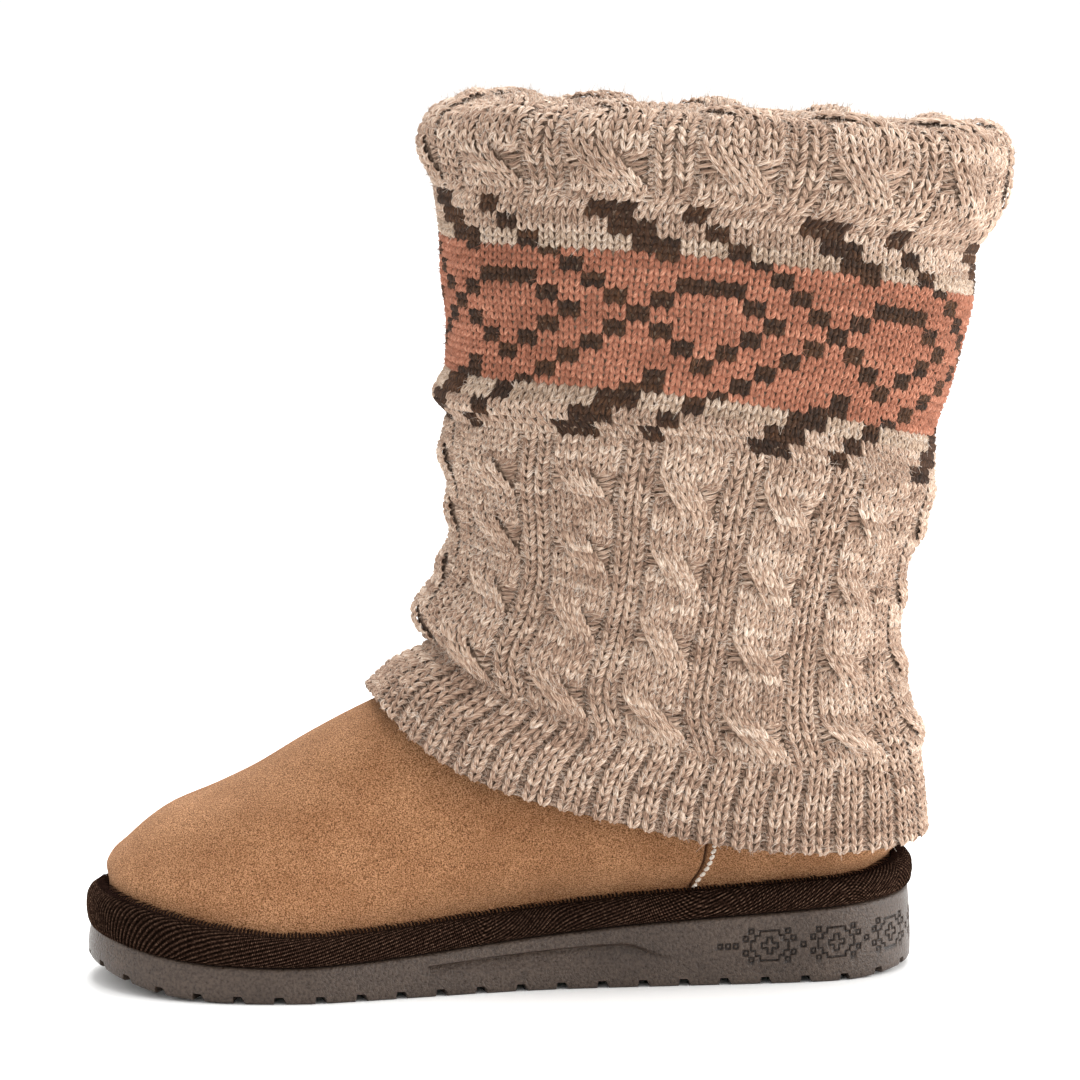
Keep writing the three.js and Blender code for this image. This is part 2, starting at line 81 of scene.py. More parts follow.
def ink(code):
    """Linear colour of an sRGB hex code."""
    parts = [int(code[i:i + 2], 16) / 255 for i in (0, 2, 4)]
    return (*[p / 12.92 if p < 0.04 else ((p + 0.055) / 1.055) ** 2.4 for p in parts], 1)


class Finish:
    """A material, with short calls that add nodes to it and return what they put out."""

    def __init__(self, name, roughness, shine=0.5):
        self.material = bpy.data.materials.new(name)
        self.material.use_nodes = True
        self.tree = self.material.node_tree
        self.look({"Roughness": roughness, "Specular IOR Level": shine})

    def look(self, inputs):
        feed(self.tree, self.tree.nodes["Principled BSDF"], inputs)

    def node(self, kind, inputs=None, **settings):
        return add_node(self.tree, "ShaderNode" + kind, inputs, **settings)

    def place(self):
        return self.node("TexCoord").outputs["Object"]

    def own(self, name):
        """What the mesh keeps under a name."""
        return self.node("Attribute", attribute_name=name).outputs["Fac"]

    def noise(self, place, scale, detail=2.0, roughness=0.5):
        return self.node("TexNoise", {"Vector": place, "Scale": scale, "Detail": detail,
                                      "Roughness": roughness}).outputs["Fac"]

    def ramp(self, source, stops):
        """Colours by a value; the stops are written as a place and a hex code each."""
        node = self.node("ValToRGB", {"Fac": source})
        places, codes, elements = stops.split()[::2], stops.split()[1::2], node.color_ramp.elements
        while len(elements) < len(codes):
            elements.new(0.5)
        for element, place, code in zip(elements, places, codes):
            element.position, element.color = float(place), ink(code)
        return node.outputs["Color"]

    def multiplied(self, colour, *others, share=1.0):
        for other in others:
            colour = self.node("Mix", {0: share, 6: colour, 7: other}, data_type="RGBA",
                               blend_type="MULTIPLY").outputs[2]
        return colour

    def maths(self, kind, *values):
        return self.node("Math", dict(enumerate(values)), operation=kind).outputs[0]

    def relief(self, source, depth, strength, before=None):
        node = self.node("Bump", {"Height": source, "Distance": depth, "Strength": strength})
        if before is not None:
            feed(self.tree, node, {"Normal": before})
        return node.outputs["Normal"]

    def speckled(self, scale, detail, stops):
        """Colours the whole material by one noise."""
        self.look({"Base Color": self.ramp(self.noise(self.place(), scale, detail), stops)})

    def sheen(self, weight, code, roughness=0.5):
        self.look({"Sheen Weight": weight, "Sheen Tint": ink(code), "Sheen Roughness": roughness})


camera = placed("camera", bpy.data.cameras.new("camera"))
camera.data.sensor_width, camera.data.lens, camera.data.clip_end = 36, 192.3, 50
camera.data.shift_x, camera.data.shift_y = 0.01137, -0.0166
camera.location = looked_at + camera_reach * Vector((
    math.sin(camera_turn) * math.cos(camera_raise),
    -math.cos(camera_turn) * math.cos(camera_raise), math.sin(camera_raise)))
camera.rotation_euler = (math.radians(90) - camera_raise, 0, camera_turn)
bpy.context.scene.camera = camera

floor_paper = Finish("floor_paper", 0.9)
floor_paper.speckled(3, 2, "0.0 f9f9f8 1.0 fdfdfc")
floor_mesh = bpy.data.meshes.new("floor")
floor_mesh.from_pydata([(-9, -6, 0), (9, -6, 0), (9, 12, 0), (-9, 12, 0)], [], [(0, 1, 2, 3)])
floor_mesh.materials.append(floor_paper.material)
floor = placed("floor", floor_mesh)

surround = bpy.data.worlds.new("surround")
surround.use_nodes = True
feed(surround.node_tree, surround.node_tree.nodes["Background"],
     {"Color": surround_colour, "Strength": surround_power})
bpy.context.scene.world = surround
bpy.context.scene.view_settings.view_transform = "Standard"
for name, place, size, power in lamps:
    lamp = bpy.data.lights.new(name, "AREA")
    lamp.size, lamp.energy = size, power
    holder = placed(name, lamp)
    holder.location = place
    holder.rotation_euler = (looked_at - Vector(place)).to_track_quat("-Z", "Y").to_euler()

# --- outsole ---
# Foam rubber platform, one moulding. Its edge is cut into lugs, a scoop is pressed into the
# waist on both sides, and thin outlines of an old knitting pattern run round the heel.

gap = 0.3  # between pieces that touch
sole_length, toe_swing = 274, 9
binding_width, binding_height = 7.2, 9.2
sole_inset, sole_flare = 1.4, 0.9
heel_back = 36  # the heel's tip stands this far behind the origin
core_inset, spine_ends = 17, (-184, 0)  # inside the core the sole is plain
lug_pitch, lug_first, lug_deep, lug_long = 13.5, 13, 2.5, 9.5
lug_columns = (-1.6, -1.35, 0, 1.3, 2.4, 4.2, 6, 7.8, 9.5, 11.2)
lug_sides = (-1.6, -1.35, 1.3, 2.4)
channel_first, channel_from, channel_to, channel_half, channel_deep = 42, 38, 240, 2, 2.0
figure_first, figure_pitch, figure_height, figure_deep = 75.7, 22.6, 12.9, 0.5
figure_step, figure_margin, square_half = 0.32, 18, 0.72
wall_foot, wall_head, wall_bulge = 2.7, 1, 0.35  # where the wall starts and stops


def curve_through(at, value):
    """A smooth function through a row of values that never swings past them."""
    at, value = np.array(at, float), np.array(value, float)
    rise = np.diff(value) / np.diff(at)
    before, after = np.r_[rise[0], rise], np.r_[rise, rise[-1]]
    both = before * after
    slope = np.where(both > 0, 2 * both / np.where(both > 0, before + after, 1), 0)

    def between(x):
        x = np.clip(x, at[0], at[-1])
        i = np.clip(np.searchsorted(at, x, side="right") - 1, 0, len(at) - 2)
        span = at[i + 1] - at[i]
        t = (x - at[i]) / span
        return (value[i] * (1 - t) ** 2 * (1 + 2 * t) + slope[i] * span * t * (1 - t) ** 2
                + value[i + 1] * t * t * (3 - 2 * t) + slope[i + 1] * span * t * t * (t - 1))
    return between


def ease(x, low, high):
    t = np.clip((x - low) / (high - low), 0, 1)
    return t * t * (3 - 2 * t)


def hill(x, middle, wide):
    return np.exp(-((x - middle) / wide) ** 2)


def unit(ways):
    return ways / np.linalg.norm(ways, axis=-1, keepdims=True)


sole_along = (0, 10, 28, 60, 100, 137, 190, 215, 236, 252, 264, 274)
sole_top = curve_through(
    sole_along, (26.4, 26, 24.8, 22.9, 20.4, 17, 12.4, 11.5, 12, 13.6, 16, 19))
sole_foot = curve_through(sole_along, (2.2, 1.2, 0, 0, 0, 0, 0, 0, 0.3, 1.4, 4, 7.6))


def swing(along):
    """How far the middle of the foot stands toward the inner side."""
    return toe_swing * np.clip(along / sole_length, 0, None) ** 3


def round_end(distance, length):
    rest = np.clip(1 - distance / length, 0, 1)
    return (1 - rest ** 2.2) ** (1 / 2.2)


def section_sides(shape, part):
    """Both sides of a level section, inner then outer, at shares of its length."""
    back, front, back_round, front_round, heel, waist_out, waist_in, ball_out, ball_in = shape
    along = back + (front - back) * part
    opened = round_end(along - back, back_round) * round_end(front - along, front_round)
    return [np.stack([heel_back - along, swing(along) + side * curve_through(
        (0.18, 0.43, 0.76), (heel, waist, ball))(part) * opened], 1)
        for side, waist, ball in ((1, waist_in, ball_in), (-1, waist_out, ball_out))]


def closed_line(shape, part):
    """Closed outline of a level section: heel tip, inner side, toe tip, outer side."""
    inner, outer = section_sides(shape, part)
    return np.vstack([inner, outer[-2:0:-1]])


def round_shares(stations):
    """Shares of a length that crowd toward both of its ends."""
    return (1 - np.cos(np.pi * np.arange(stations + 1) / stations)) / 2


def outward(line):
    along = unit(np.roll(line, -1, 0) - np.roll(line, 1, 0))
    return np.stack([along[:, 1], -along[:, 0]], 1)


def sampled(line, numbers):
    """Points of a closed line at fractional point numbers."""
    closed = np.vstack([line, line[:1]])
    return np.stack([np.interp(numbers, np.arange(len(closed)), column) for column in closed.T], 1)


def walked(line):
    return np.r_[0, np.cumsum(np.linalg.norm(np.roll(line, -1, 0) - line, axis=1))]


def numbers_at(way, distances):
    """Fractional point numbers at distances along a line."""
    return np.interp(distances, way, np.arange(len(way)))


def from_nearest(x, pitch):
    """Signed distance from the nearest whole number of pitches."""
    return (x + pitch / 2) % pitch - pitch / 2


def along_foot(points):
    return heel_back - points[..., 0]


def middle_of(edge, step, ends):
    """Points on the foot's middle line, level with an edge and whole steps apart."""
    x = np.clip(np.round(edge[:, 0] / step) * step, *ends)
    return np.c_[x, swing(heel_back - x)]


def joined_rings(name, rings, round_again=False):
    """A mesh from closed rings of equal count, each joined to the next."""
    rings = np.array(rings, float)
    bands, count = rings.shape[:2]
    low = np.arange(bands if round_again else bands - 1)[:, None] * count
    high = (low + count) % (bands * count)
    i = np.arange(count)[None, :]
    j = (i + 1) % count
    faces = np.stack([low + i, low + j, high + j, high + i], -1).reshape(-1, 4)
    mesh = bpy.data.meshes.new(name)
    mesh.from_pydata((rings.reshape(-1, 3) * 0.001).tolist(), [], faces.tolist())
    return mesh


def mark(mesh, name, values):
    """Keeps a value, or a direction, for each point of a mesh under a name."""
    kind, field = ("FLOAT_VECTOR", "vector") if np.ndim(values) == 3 else ("FLOAT", "value")
    mesh.attributes.new(name, kind, "POINT").data.foreach_set(
        field, np.asarray(values, np.float32).ravel())


def piece_from(mesh, finish, weld=0.0):
    """A smooth piece named as its mesh, with loose doubles welded."""
    if weld:
        work = bmesh.new()
        work.from_mesh(mesh)
        bmesh.ops.remove_doubles(work, verts=work.verts, dist=weld)
        bmesh.ops.recalc_face_normals(work, faces=work.faces)
        work.to_mesh(mesh)
        work.free()
    mesh.polygons.foreach_set("use_smooth", [True] * len(mesh.polygons))
    mesh.materials.append(finish.material)
    return placed(mesh.name, mesh)


feather_shape = (7, 267.4, 33, 62, 30, 28.2, 26, 39.5, 41)
feather_half = 260  # points on each side
feather = closed_line(feather_shape, round_shares(feather_half))
sole_edge = feather + outward(feather) * (gap + binding_width - sole_inset)
sole_out = outward(sole_edge)
foot_way = walked(sole_edge + sole_out * sole_flare)
foot_round = foot_way[-1]
lug_places = np.arange(int(round(foot_round / lug_pitch))) * lug_pitch + lug_first
fine = np.arange(0, figure_first + figure_margin, figure_step)
edge_along = along_foot(sole_edge)
blunt_end = np.arange(166.4, 168.6, 0.25)
places = np.sort(np.concatenate([
    np.interp(blunt_end, edge_along[:feather_half], foot_way[:feather_half]),
    np.interp(blunt_end, edge_along[feather_half:][::-1], foot_way[feather_half:-1][::-1]),
    (lug_places[:, None] + np.array(lug_columns)[None, :]).ravel() % foot_round,
    fine, foot_round - fine - figure_step / 2]))
places = places[np.r_[True, np.diff(places) > 0.07]]
numbers = numbers_at(foot_way, places)
edge_at, out_at = sampled(sole_edge, numbers), unit(sampled(sole_out, numbers))
along_at = along_foot(edge_at)

from_lug = from_nearest(places[:, None] - lug_places[None, :], foot_round)
from_lug = np.take_along_axis(from_lug, np.abs(from_lug).argmin(1)[:, None], 1)[:, 0]
notch = lug_deep * np.interp(from_lug, lug_sides, (0, 1, 1, 0))
foot_at, top_at = sole_foot(along_at), sole_top(along_at)


def sole_ring(inset, height):
    point = edge_at - out_at * np.reshape(inset, (-1, 1))
    return np.c_[point, np.broadcast_to(height, len(point))]


def from_square(x, z):
    """Distance to the outline of a small square round the middle."""
    return np.abs(np.maximum(np.abs(x), np.abs(z)) - square_half)


def figure_distance(x, z):
    """Distance to the nearest line of the heel's pattern, from its nearest figure's middle."""
    x, z = np.abs(x), np.abs(z)
    steps = ((0, 4.9), (3.2, 4.9), (3.2, 3.3), (4.8, 3.3), (4.8, 1.65), (6.3, 1.65), (6.3, 0))
    cross = ((0, 2.7), (0.85, 2.7), (0.85, 0.85), (2.7, 0.85), (2.7, 0))
    nearest = np.full(x.shape, 9.0)
    for corners in (steps, cross):
        for (ax, az), (bx, bz) in zip(corners[:-1], corners[1:]):
            length = math.hypot(bx - ax, bz - az)
            ux, uz = (bx - ax) / length, (bz - az) / length
            t = np.clip((x - ax) * ux + (z - az) * uz, 0, length)
            nearest = np.minimum(nearest, np.hypot(x - ax - ux * t, z - az - uz * t))
    for cx, cz in ((8.0, 2.35), (6.1, 4.75), (11.3, 0)):
        nearest = np.minimum(nearest, from_square(x - cx, z - cz))
    return nearest


def figure_cut(height):
    """How deep the heel's pattern is cut, from 0 to 1."""
    from_heel = np.minimum(places, foot_round - places)
    beyond = from_heel - figure_first
    from_figure = np.where(beyond > 0, beyond, from_nearest(beyond, figure_pitch))
    above = height - figure_height - 1.3 * ease(from_heel, 70, 20)
    line = figure_distance(from_figure, above)
    for lead in (13.9, 16.5):
        line = np.minimum(line, from_square(beyond - lead, above))
    return 1 - ease(line, 0.16, 0.44)


scoop_roof = curve_through((82, 89, 103, 133, 150, 168), (8.6, 10.2, 15.0, 13.3, 11.9, 10.4))
scoop_foot = curve_through((82, 103, 133, 150, 168), (8.2, 8.0, 7.8, 7.3, 6.7))
scoop_deep = curve_through((82, 88, 100, 124, 160, 167.2, 167.9), (0, 0.5, 2.2, 2.5, 2.1, 1.9, 0))


def wall_inset(height):
    """How far the wall stands inside its upper edge, at a height, with scoop and pattern."""
    share = np.clip((height - foot_at - 1.2) / (top_at - foot_at - 2.2), 0, 1)
    inset = -sole_flare * (1 - share) - wall_bulge * np.sin(np.pi * share)
    roof, low = scoop_roof(along_at), scoop_foot(along_at)
    t = np.clip((height - low) / np.maximum(roof - low, 0.5), 0, 1)
    inset = inset + scoop_deep(along_at) * np.where(
        t < 0.8, (t / 0.8) ** 0.9, ease(1 - t, 0, 0.2))
    return inset + figure_deep * figure_cut(height)


spine = middle_of(edge_at, 4, spine_ends)


def inner_ring(share, height):
    """Ring from the core's edge (0) to the spine of the sole (1)."""
    start = edge_at - out_at * core_inset
    point = start + (spine - start) * share
    return np.c_[point, height(along_foot(point))]


from_channel = from_nearest(along_at - channel_first, lug_pitch)
channel = channel_deep * ((np.abs(from_channel) < channel_half)
                          & (along_at > channel_from) & (along_at < channel_to))
under = [inner_ring(share, sole_foot) for share in (1, 0.66, 0.33, 0.04)]
for ring in under[1:3]:
    ring[:, 2] += channel
under += [sole_ring(inset, foot_at + lift) for inset, lift in (
    (14, 0), (lug_long + 0.6, 0), (lug_long, notch), (5, notch), (1.2 - sole_flare, notch),
    (-0.45, np.maximum(notch, 0.35)), (-sole_flare, np.maximum(notch, 1.2)))]
wall, painted_cut_shade = [], []
for share in np.r_[0, 0.08, 0.17, np.linspace(0.25, 0.81, 40), 0.87, 0.94, 1]:
    height = foot_at + wall_foot + share * (top_at - wall_head - foot_at - wall_foot)
    wall.append(sole_ring(wall_inset(height), height))
    painted_cut_shade.append(figure_cut(height))
over = [sole_ring(inset, top_at - drop) for inset, drop in ((0.3, 0.4), (1, 0), (9, 0.1))]
over += [inner_ring(share, lambda along: sole_top(along) - 0.1) for share in (0, 0.5, 1)]
outsole_mesh = joined_rings("outsole_foam", under + wall + over)
none = np.zeros(len(places))
# How deep the heel's pattern is cut at each wall point, kept to darken its lines: painted shade in
# the incised lines.
mark(outsole_mesh, "cut", np.concatenate([none] * len(under) + painted_cut_shade + [none] * len(over)))

foam = Finish("foam_rubber", 0.62, shine=0.3)
place = foam.place()
foam_fine, foam_pebble = foam.noise(place, 1100, 3), foam.noise(place, 2400, 1)
foam.look({
    "Base Color": foam.multiplied(
        foam.ramp(foam.noise(place, 45, 4), "0.3 453931 0.7 51443b"),
        foam.ramp(foam_fine, "0.36 b9b3af 0.62 ffffff"),
        # darker along the cut lines of the heel's pattern: painted shade in the incised lines
        foam.ramp(foam.own("cut"), "0.1 ffffff 0.9 8a8482")),
    "Roughness": foam.ramp(foam_fine, "0.3 8a8a8a 0.7 b8b8b8"),
    "Normal": foam.relief(foam_pebble, 0.0003, 0.6, foam.relief(foam_fine, 0.0006, 0.7))})
outsole = piece_from(outsole_mesh, foam, weld=2e-6)
outsole.data.set_sharp_from_angle(angle=math.radians(38))
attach(outsole, "root")
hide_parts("outsole")

# --- tape binding ---
# Ribbed twill tape rolled over the edge where the upper meets the sole, and overlocked along
# its upper edge. It climbs at the toe and at the heel.

rib_pitch, rib_proud, thread_pitch = 1.15, 0.2, 0.62
plain_lean, toe_lean, heel_lean, waist_lean = 16, 70, 20, 30  # of the ribs, in degrees
binding_round = ((0, 0), (0.64, 0), (0.9, 0.13), (1, 0.42), (0.96, 0.74), (0.72, 0.95),
                 (0.38, 1), (0.06, 0.86))
toe_zone, turned_heel = 60, 26  # finer columns round the toe, and the ribs' lean swaps at the heel


def tape_climb(along):
    return 4.8 * ease(along, 205, 262) + 2.6 * ease(along, 24, 2)


def closed_curve(corners, shares):
    """Rounded closed curve through corners, at shares of its length, and that length."""
    p = np.array(corners, float)
    t = np.linspace(0, len(p), 40 * len(p), endpoint=False)
    i = t.astype(int)
    f = (t - i)[:, None]
    a, b, c, d = (p[(i + k) % len(p)] for k in (-1, 0, 1, 2))
    curve = 0.5 * (2 * b + (c - a) * f + (2 * a - 5 * b + 4 * c - d) * f ** 2
                   + (3 * b - 3 * c + d - a) * f ** 3)
    way = walked(curve)
    return sampled(curve, numbers_at(way, shares * way[-1])), way[-1]


feather_out = outward(feather)
tape_way = walked(feather + feather_out * binding_width)
toe_place = tape_way[feather_half]
steps = np.r_[np.arange(0, toe_place - toe_zone, 1.0),
              np.arange(toe_place - toe_zone, toe_place + toe_zone, 0.36),
              np.arange(toe_place + toe_zone, tape_way[-1] - 0.4, 1.0)]
numbers = numbers_at(tape_way, steps)
tape_at, tape_out = sampled(feather, numbers), sampled(feather_out, numbers)
tape_along = along_foot(tape_at)
around = np.r_[0.02, 0.08, np.linspace(0.14, 0.8, 36), 0.86, 0.93]
tape_form, tape_girth = closed_curve(
    [(u * binding_width, v * binding_height) for u, v in binding_round], around)
from_toe = np.abs(steps - toe_place)
from_heel = np.minimum(steps, tape_way[-1] - steps)
bunched = waist_lean * hill(tape_along, 128, 12) * (steps > toe_place)
lean = np.radians(
    plain_lean + toe_lean * ease(from_toe, 70, 8)
    + heel_lean * ease(from_heel, 120, 40) + bunched) * np.where(
        from_heel < turned_heel, -1, 1)
side = np.where(steps > toe_place, -1, 1)
drift = np.cumsum(side * np.sin(lean) * np.gradient(steps))
climb = tape_climb(tape_along)
tape_rings, ribs, runs = [], [], []
for (out, up), (face_out, face_up), share in zip(tape_form, outward(tape_form), around):
    across = share * tape_girth
    ribs.append((drift + across * np.cos(lean)) / rib_pitch)
    runs.append(steps * np.cos(lean) - side * across * np.sin(lean))
    wave = np.sin(2 * np.pi * ribs[-1])
    proud = rib_proud * (np.abs(wave) ** 0.7 * np.sign(wave)
                         * ease(share, 0.17, 0.26) * ease(0.97 - share, 0, 0.1) - 0.5)
    point = tape_at + tape_out * (gap + out + proud * face_out)[:, None]
    height = sole_top(tape_along) + gap + up * (1 + climb / binding_height) + proud * face_up
    tape_rings.append(np.c_[point, height])
tape_mesh = joined_rings("tape_binding", tape_rings, round_again=True)
mark(tape_mesh, "ribs", np.concatenate(ribs))
mark(tape_mesh, "run", np.concatenate(runs))

twill = Finish("twill_tape", 0.8, shine=0.0)
fleck = twill.noise(twill.place(), 1500, 2)
full_turn = 2 * math.pi
threads = twill.maths("SINE", twill.maths("MULTIPLY", twill.own("run"), full_turn / thread_pitch))
# The ribs' crowns are painted lighter and the gaps between them darker: painted highlight and
# shade, added to the cross threads and flecks.
rib_crown_light = twill.maths("SINE", twill.maths("MULTIPLY", twill.own("ribs"), full_turn))
lit = twill.maths("ADD", twill.maths("MULTIPLY_ADD", rib_crown_light, 0.22, 0.5),
                  twill.maths("MULTIPLY", threads, 0.16))
lit = twill.maths("ADD", lit, twill.maths("SUBTRACT", fleck, 0.5))
twill.look({
    "Base Color": twill.ramp(lit, "0.2 070402 0.5 1b110c 0.78 3c2b23 1.0 6c5647"),
    "Normal": twill.relief(fleck, 0.0002, 0.4, twill.relief(lit, 0.0005, 0.6))})
tape = piece_from(tape_mesh, twill)
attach(tape, "root")
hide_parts("sole_binding")

# --- insole ---
# Loose fleece sock, laid on the platform inside the upper.

insole_inset, insole_ends = 3.4, (-200, 6)
insole_rows = ((1, 0.2), (0, 0.2), (0, 2.9), (0.03, 3.7), (0.1, 4), (0.25, 4.1), (0.4, 4.1),
               (0.55, 4.1), (0.7, 4.1), (0.85, 4.1), (1, 4.1))  # share inward, and height
tuft_height = 0.25

insole_line = closed_line(feather_shape, round_shares(90))
insole_edge = insole_line - outward(insole_line) * insole_inset
insole_middle = middle_of(insole_edge, 3, insole_ends)
fleece_dice = np.random.default_rng(5)
insole_rings = []
for share, height in insole_rows:
    point = insole_edge + (insole_middle - insole_edge) * share
    tuft = fleece_dice.uniform(-tuft_height, tuft_height, len(point)) * (0 < share < 1)
    insole_rings.append(np.c_[
        point, sole_top(along_foot(point)) + gap + height + tuft])
fleece = Finish("fleece", 0.95)
place = fleece.place()
curls, tufts = fleece.noise(place, 260, 4, 0.6), fleece.noise(place, 1400, 2)
fleece.look({
    "Base Color": fleece.multiplied(
        fleece.ramp(curls, "0.3 8f7350 0.5 b79a74 0.7 d0b791"),
        fleece.ramp(tufts, "0.2 c9bfb0 0.7 ffffff"), share=0.8),
    "Normal": fleece.relief(tufts, 0.0004, 0.6, fleece.relief(curls, 0.0016, 0.8))})
fleece.sheen(0.5, "ead8bd")
insole = piece_from(joined_rings("insole_fleece", insole_rings), fleece, weld=1e-5)
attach(insole, "root")
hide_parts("insole")

# --- upper ---
# Napped leather, cut in a vamp and a heel quarter that meet in a raised seam on each side.
# Its shaft stands up inside the cuff; the fleece side is turned in.

leather_wall, upper_wall = 1.2, 2.4  # the leather alone, and with its fleece
behind_seam, before_seam = 34, 57  # columns of points on each side of the seam
seam_strip, seam_proud, groove_deep = np.arange(-3.0, 4.4, 0.3), 0.9, 2.0
shaft_lean, lean_from, ankle_floor = 0.084, 147, 23
section_heights = (0, 9.6, 15, 20, 26, 32, 38.2, 43.2, 48.4, 56.2, 62.6, 66.8, 72, 80, 90, 106,
                   140, 190, 254)
section_sizes = dict(  # a column for each height, in the order that section_sides takes
    back=(7, 7, 1.6, 1.9, 3, 3.6, 3.8, 4.5, 5.2, 6.6, 8, 9, 10.2, 11.8, 12.9, 13.2, 9, 1, -4),
    front=(267.4, 267.4, 268.2, 266.4, 261.2, 255.4, 246.7, 233, 220, 204.5, 191.5, 182.5,
           169.5, 155.6, 148.8, 145.6, 144.6, 145.6, 147),
    back_round=(33, 33, 34, 35, 36, 38, 41, 44, 46, 52, 56, 60, 63, 66, 66, 66.2, 67.8, 72.3,
                75.5),
    front_round=(62, 62, 62, 62, 60, 60, 60, 60, 58, 55, 55, 55, 56, 59, 62, 66.2, 67.8, 72.3,
                 75.5),
    heel=(30, 30, 33, 35, 36.5, 37.5, 38, 38.4, 38.8, 39.2, 39.2, 39.2, 39.2, 39.4, 40.3, 41.5,
          45.5, 50, 52.5),
    waist_out=(28.2, 28.2, 32, 35.5, 37.5, 38.5, 39.2, 39.6, 39.8, 40, 40, 40, 40, 40.2, 40.8,
               42, 46, 50, 52.5),
    waist_in=(26, 26, 30.5, 34, 36.5, 37.5, 38.4, 38.8, 39, 39.4, 39.6, 39.8, 40, 40.2, 40.8,
              42, 46, 50, 52.5),
    ball_out=(39.5, 39.5, 40.3, 39.8, 39, 37.5, 35.5, 34.5, 33, 31.5, 30.5, 30, 31, 33.5, 37,
              41, 45.5, 50, 52.5),
    ball_in=(41, 41, 41.5, 41, 39.5, 38, 36, 35, 33.5, 32, 31, 30.5, 31, 33.5, 37, 41, 45.5,
             50, 52.5))
sections = [curve_through(section_heights, sizes) for sizes in section_sizes.values()]
seam_at = curve_through(
    (9.8, 12.5, 16, 20, 26, 33, 40, 60), (78.2, 77, 75, 73.6, 72.6, 72.2, 72, 72))
levels = np.unique(np.r_[np.linspace(0, 9.6, 3), np.linspace(9.6, 60, 40),
                         np.linspace(60, 100, 18), np.linspace(100, 254, 14)])
# soft troughs: place along the foot, height, reach along, reach up and depth
hollows = ((168, 62, 24, 12, 1.0), (136, 46, 16, 20, 0.8), (206, 30, 30, 7, 0.5),
           (112, 36, 14, 14, 0.5))


def section_at(height):
    return [size(height) for size in sections]


def upper_height(along, height):
    """Height over the ground: it follows the sole low down and leans back high up."""
    rise = np.interp(height, (0, 9.6, 39.6), (0, 1, 0))
    tilt = shaft_lean * ease(height, 90, 250)
    return (ankle_floor + gap + height + (sole_top(along) - ankle_floor) * ease(height, 70, 0)
            + tape_climb(along) * rise - tilt * (lean_from - along))


def groove_at(height):
    """Place along the foot of the groove beside the seam."""
    return seam_at(height) + 1.4 + 1.2 * ease(height, 12, 26)


def upper_ring(height):
    """Ring at a height; columns crowd at the seam and follow its lean."""
    shape = section_at(height)
    back, length = shape[0], shape[1] - shape[0]
    strip = (seam_at(height) - back) / length + seam_strip / length
    toward_seam = np.linspace(0, 0.5, behind_seam, endpoint=False)
    toward_tip = np.linspace(0, 0.5, before_seam + 1)[1:]
    part = np.r_[(1 - np.cos(np.pi * toward_seam)) * strip[0], strip,
                 strip[-1] + (1 - strip[-1]) * np.sin(np.pi * toward_tip)]
    part[-1] = 1
    line = closed_line(shape, part)
    out = outward(line)
    along = along_foot(line)
    shown = ease(height, 9, 11) * ease(height, 60, 50) * (np.abs(out[:, 1]) > 0.5)
    ridge = (seam_proud * hill(along, seam_at(height) - 0.5, 1.1)
             - groove_deep * hill(along, groove_at(height), 0.5))
    swell = -sum(deep * hill(along, centre, wide) * hill(height, tall, high)
                 for centre, tall, wide, high, deep in hollows)
    line = line + out * (ridge * shown + swell * (np.abs(out[:, 1]) > 0.2))[:, None]
    return np.c_[line, upper_height(along, height)]


def moved_in(rings, wall):
    """The same rings moved inward, square to the surface."""
    along = np.roll(rings, -1, 1) - np.roll(rings, 1, 1)
    out = np.cross(along, np.gradient(rings, axis=0))
    out[[0, -1], :, 2] = 0
    return rings - unit(out) * wall


outside = np.array([upper_ring(height) for height in levels])
leather_rings = np.vstack([outside, moved_in(outside, leather_wall)[::-3]])
# Marks the groove beside the seam, under the name seam, so that the leather is darkened there:
# painted shade in the groove.
painted_groove_shade = np.zeros(leather_rings.shape[:2])
painted_groove_shade[:len(levels)] = hill(along_foot(outside), groove_at(levels)[:, None], 0.5)
leather_mesh = joined_rings("upper_napped_leather", leather_rings, round_again=True)
mark(leather_mesh, "seam", painted_groove_shade)
nap = Finish("napped_leather", 0.92, shine=0.2)
place = nap.place()
nap_fine, nap_lie = nap.noise(place, 2300, 3, 0.75), nap.noise(place, 60, 3)
nap.look({
    "Base Color": nap.multiplied(
        # darker along the groove beside the seam: painted shade in the groove
        nap.ramp(nap.own("seam"), "0.15 ffffff 0.95 80604a"),
        nap.multiplied(
            nap.ramp(nap.noise(place, 12, 2), "0.3 ca956b 0.7 d8a379"),
            nap.ramp(nap_lie, "0.3 e6dfd8 0.65 ffffff"),
            nap.ramp(nap_fine, "0.38 66543f 0.5 c9bdb0 0.6 ffffff"))),
    "Normal": nap.relief(nap_fine, 0.0011, 0.95, nap.relief(nap_lie, 0.0012, 0.35))})
nap.sheen(0.2, "e6c59c", 0.45)
upper = piece_from(leather_mesh, nap)
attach(upper, "root")
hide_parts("upper")

# --- fleece lining ---
# The fleece that the leather is bonded to, seen down the shaft.

lining_dice = np.random.default_rng(8)
lining_in = moved_in(outside, upper_wall)[::2]
lining_in[1:-1] += lining_dice.normal(0, 0.12, lining_in[1:-1].shape)
lining_out = moved_in(outside, leather_wall + 0.05)[::2]
lining = piece_from(joined_rings(
    "fleece_lining", np.vstack([lining_out, lining_in[::-1]]), round_again=True), fleece)
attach(lining, "root")

# --- seam and edge stitches ---
# Cream two-ply thread, slanted along the seam on each side of the upper, and dark thread
# overlocked along the upper edge of the tape. Each stitch is one short length of thread.

seam_stitch_first, seam_stitch_last, seam_stitch_step = 10.2, 36, 2.05
tooth_step, tooth_foot, tooth_head = 1.25, 0.2, 9.65

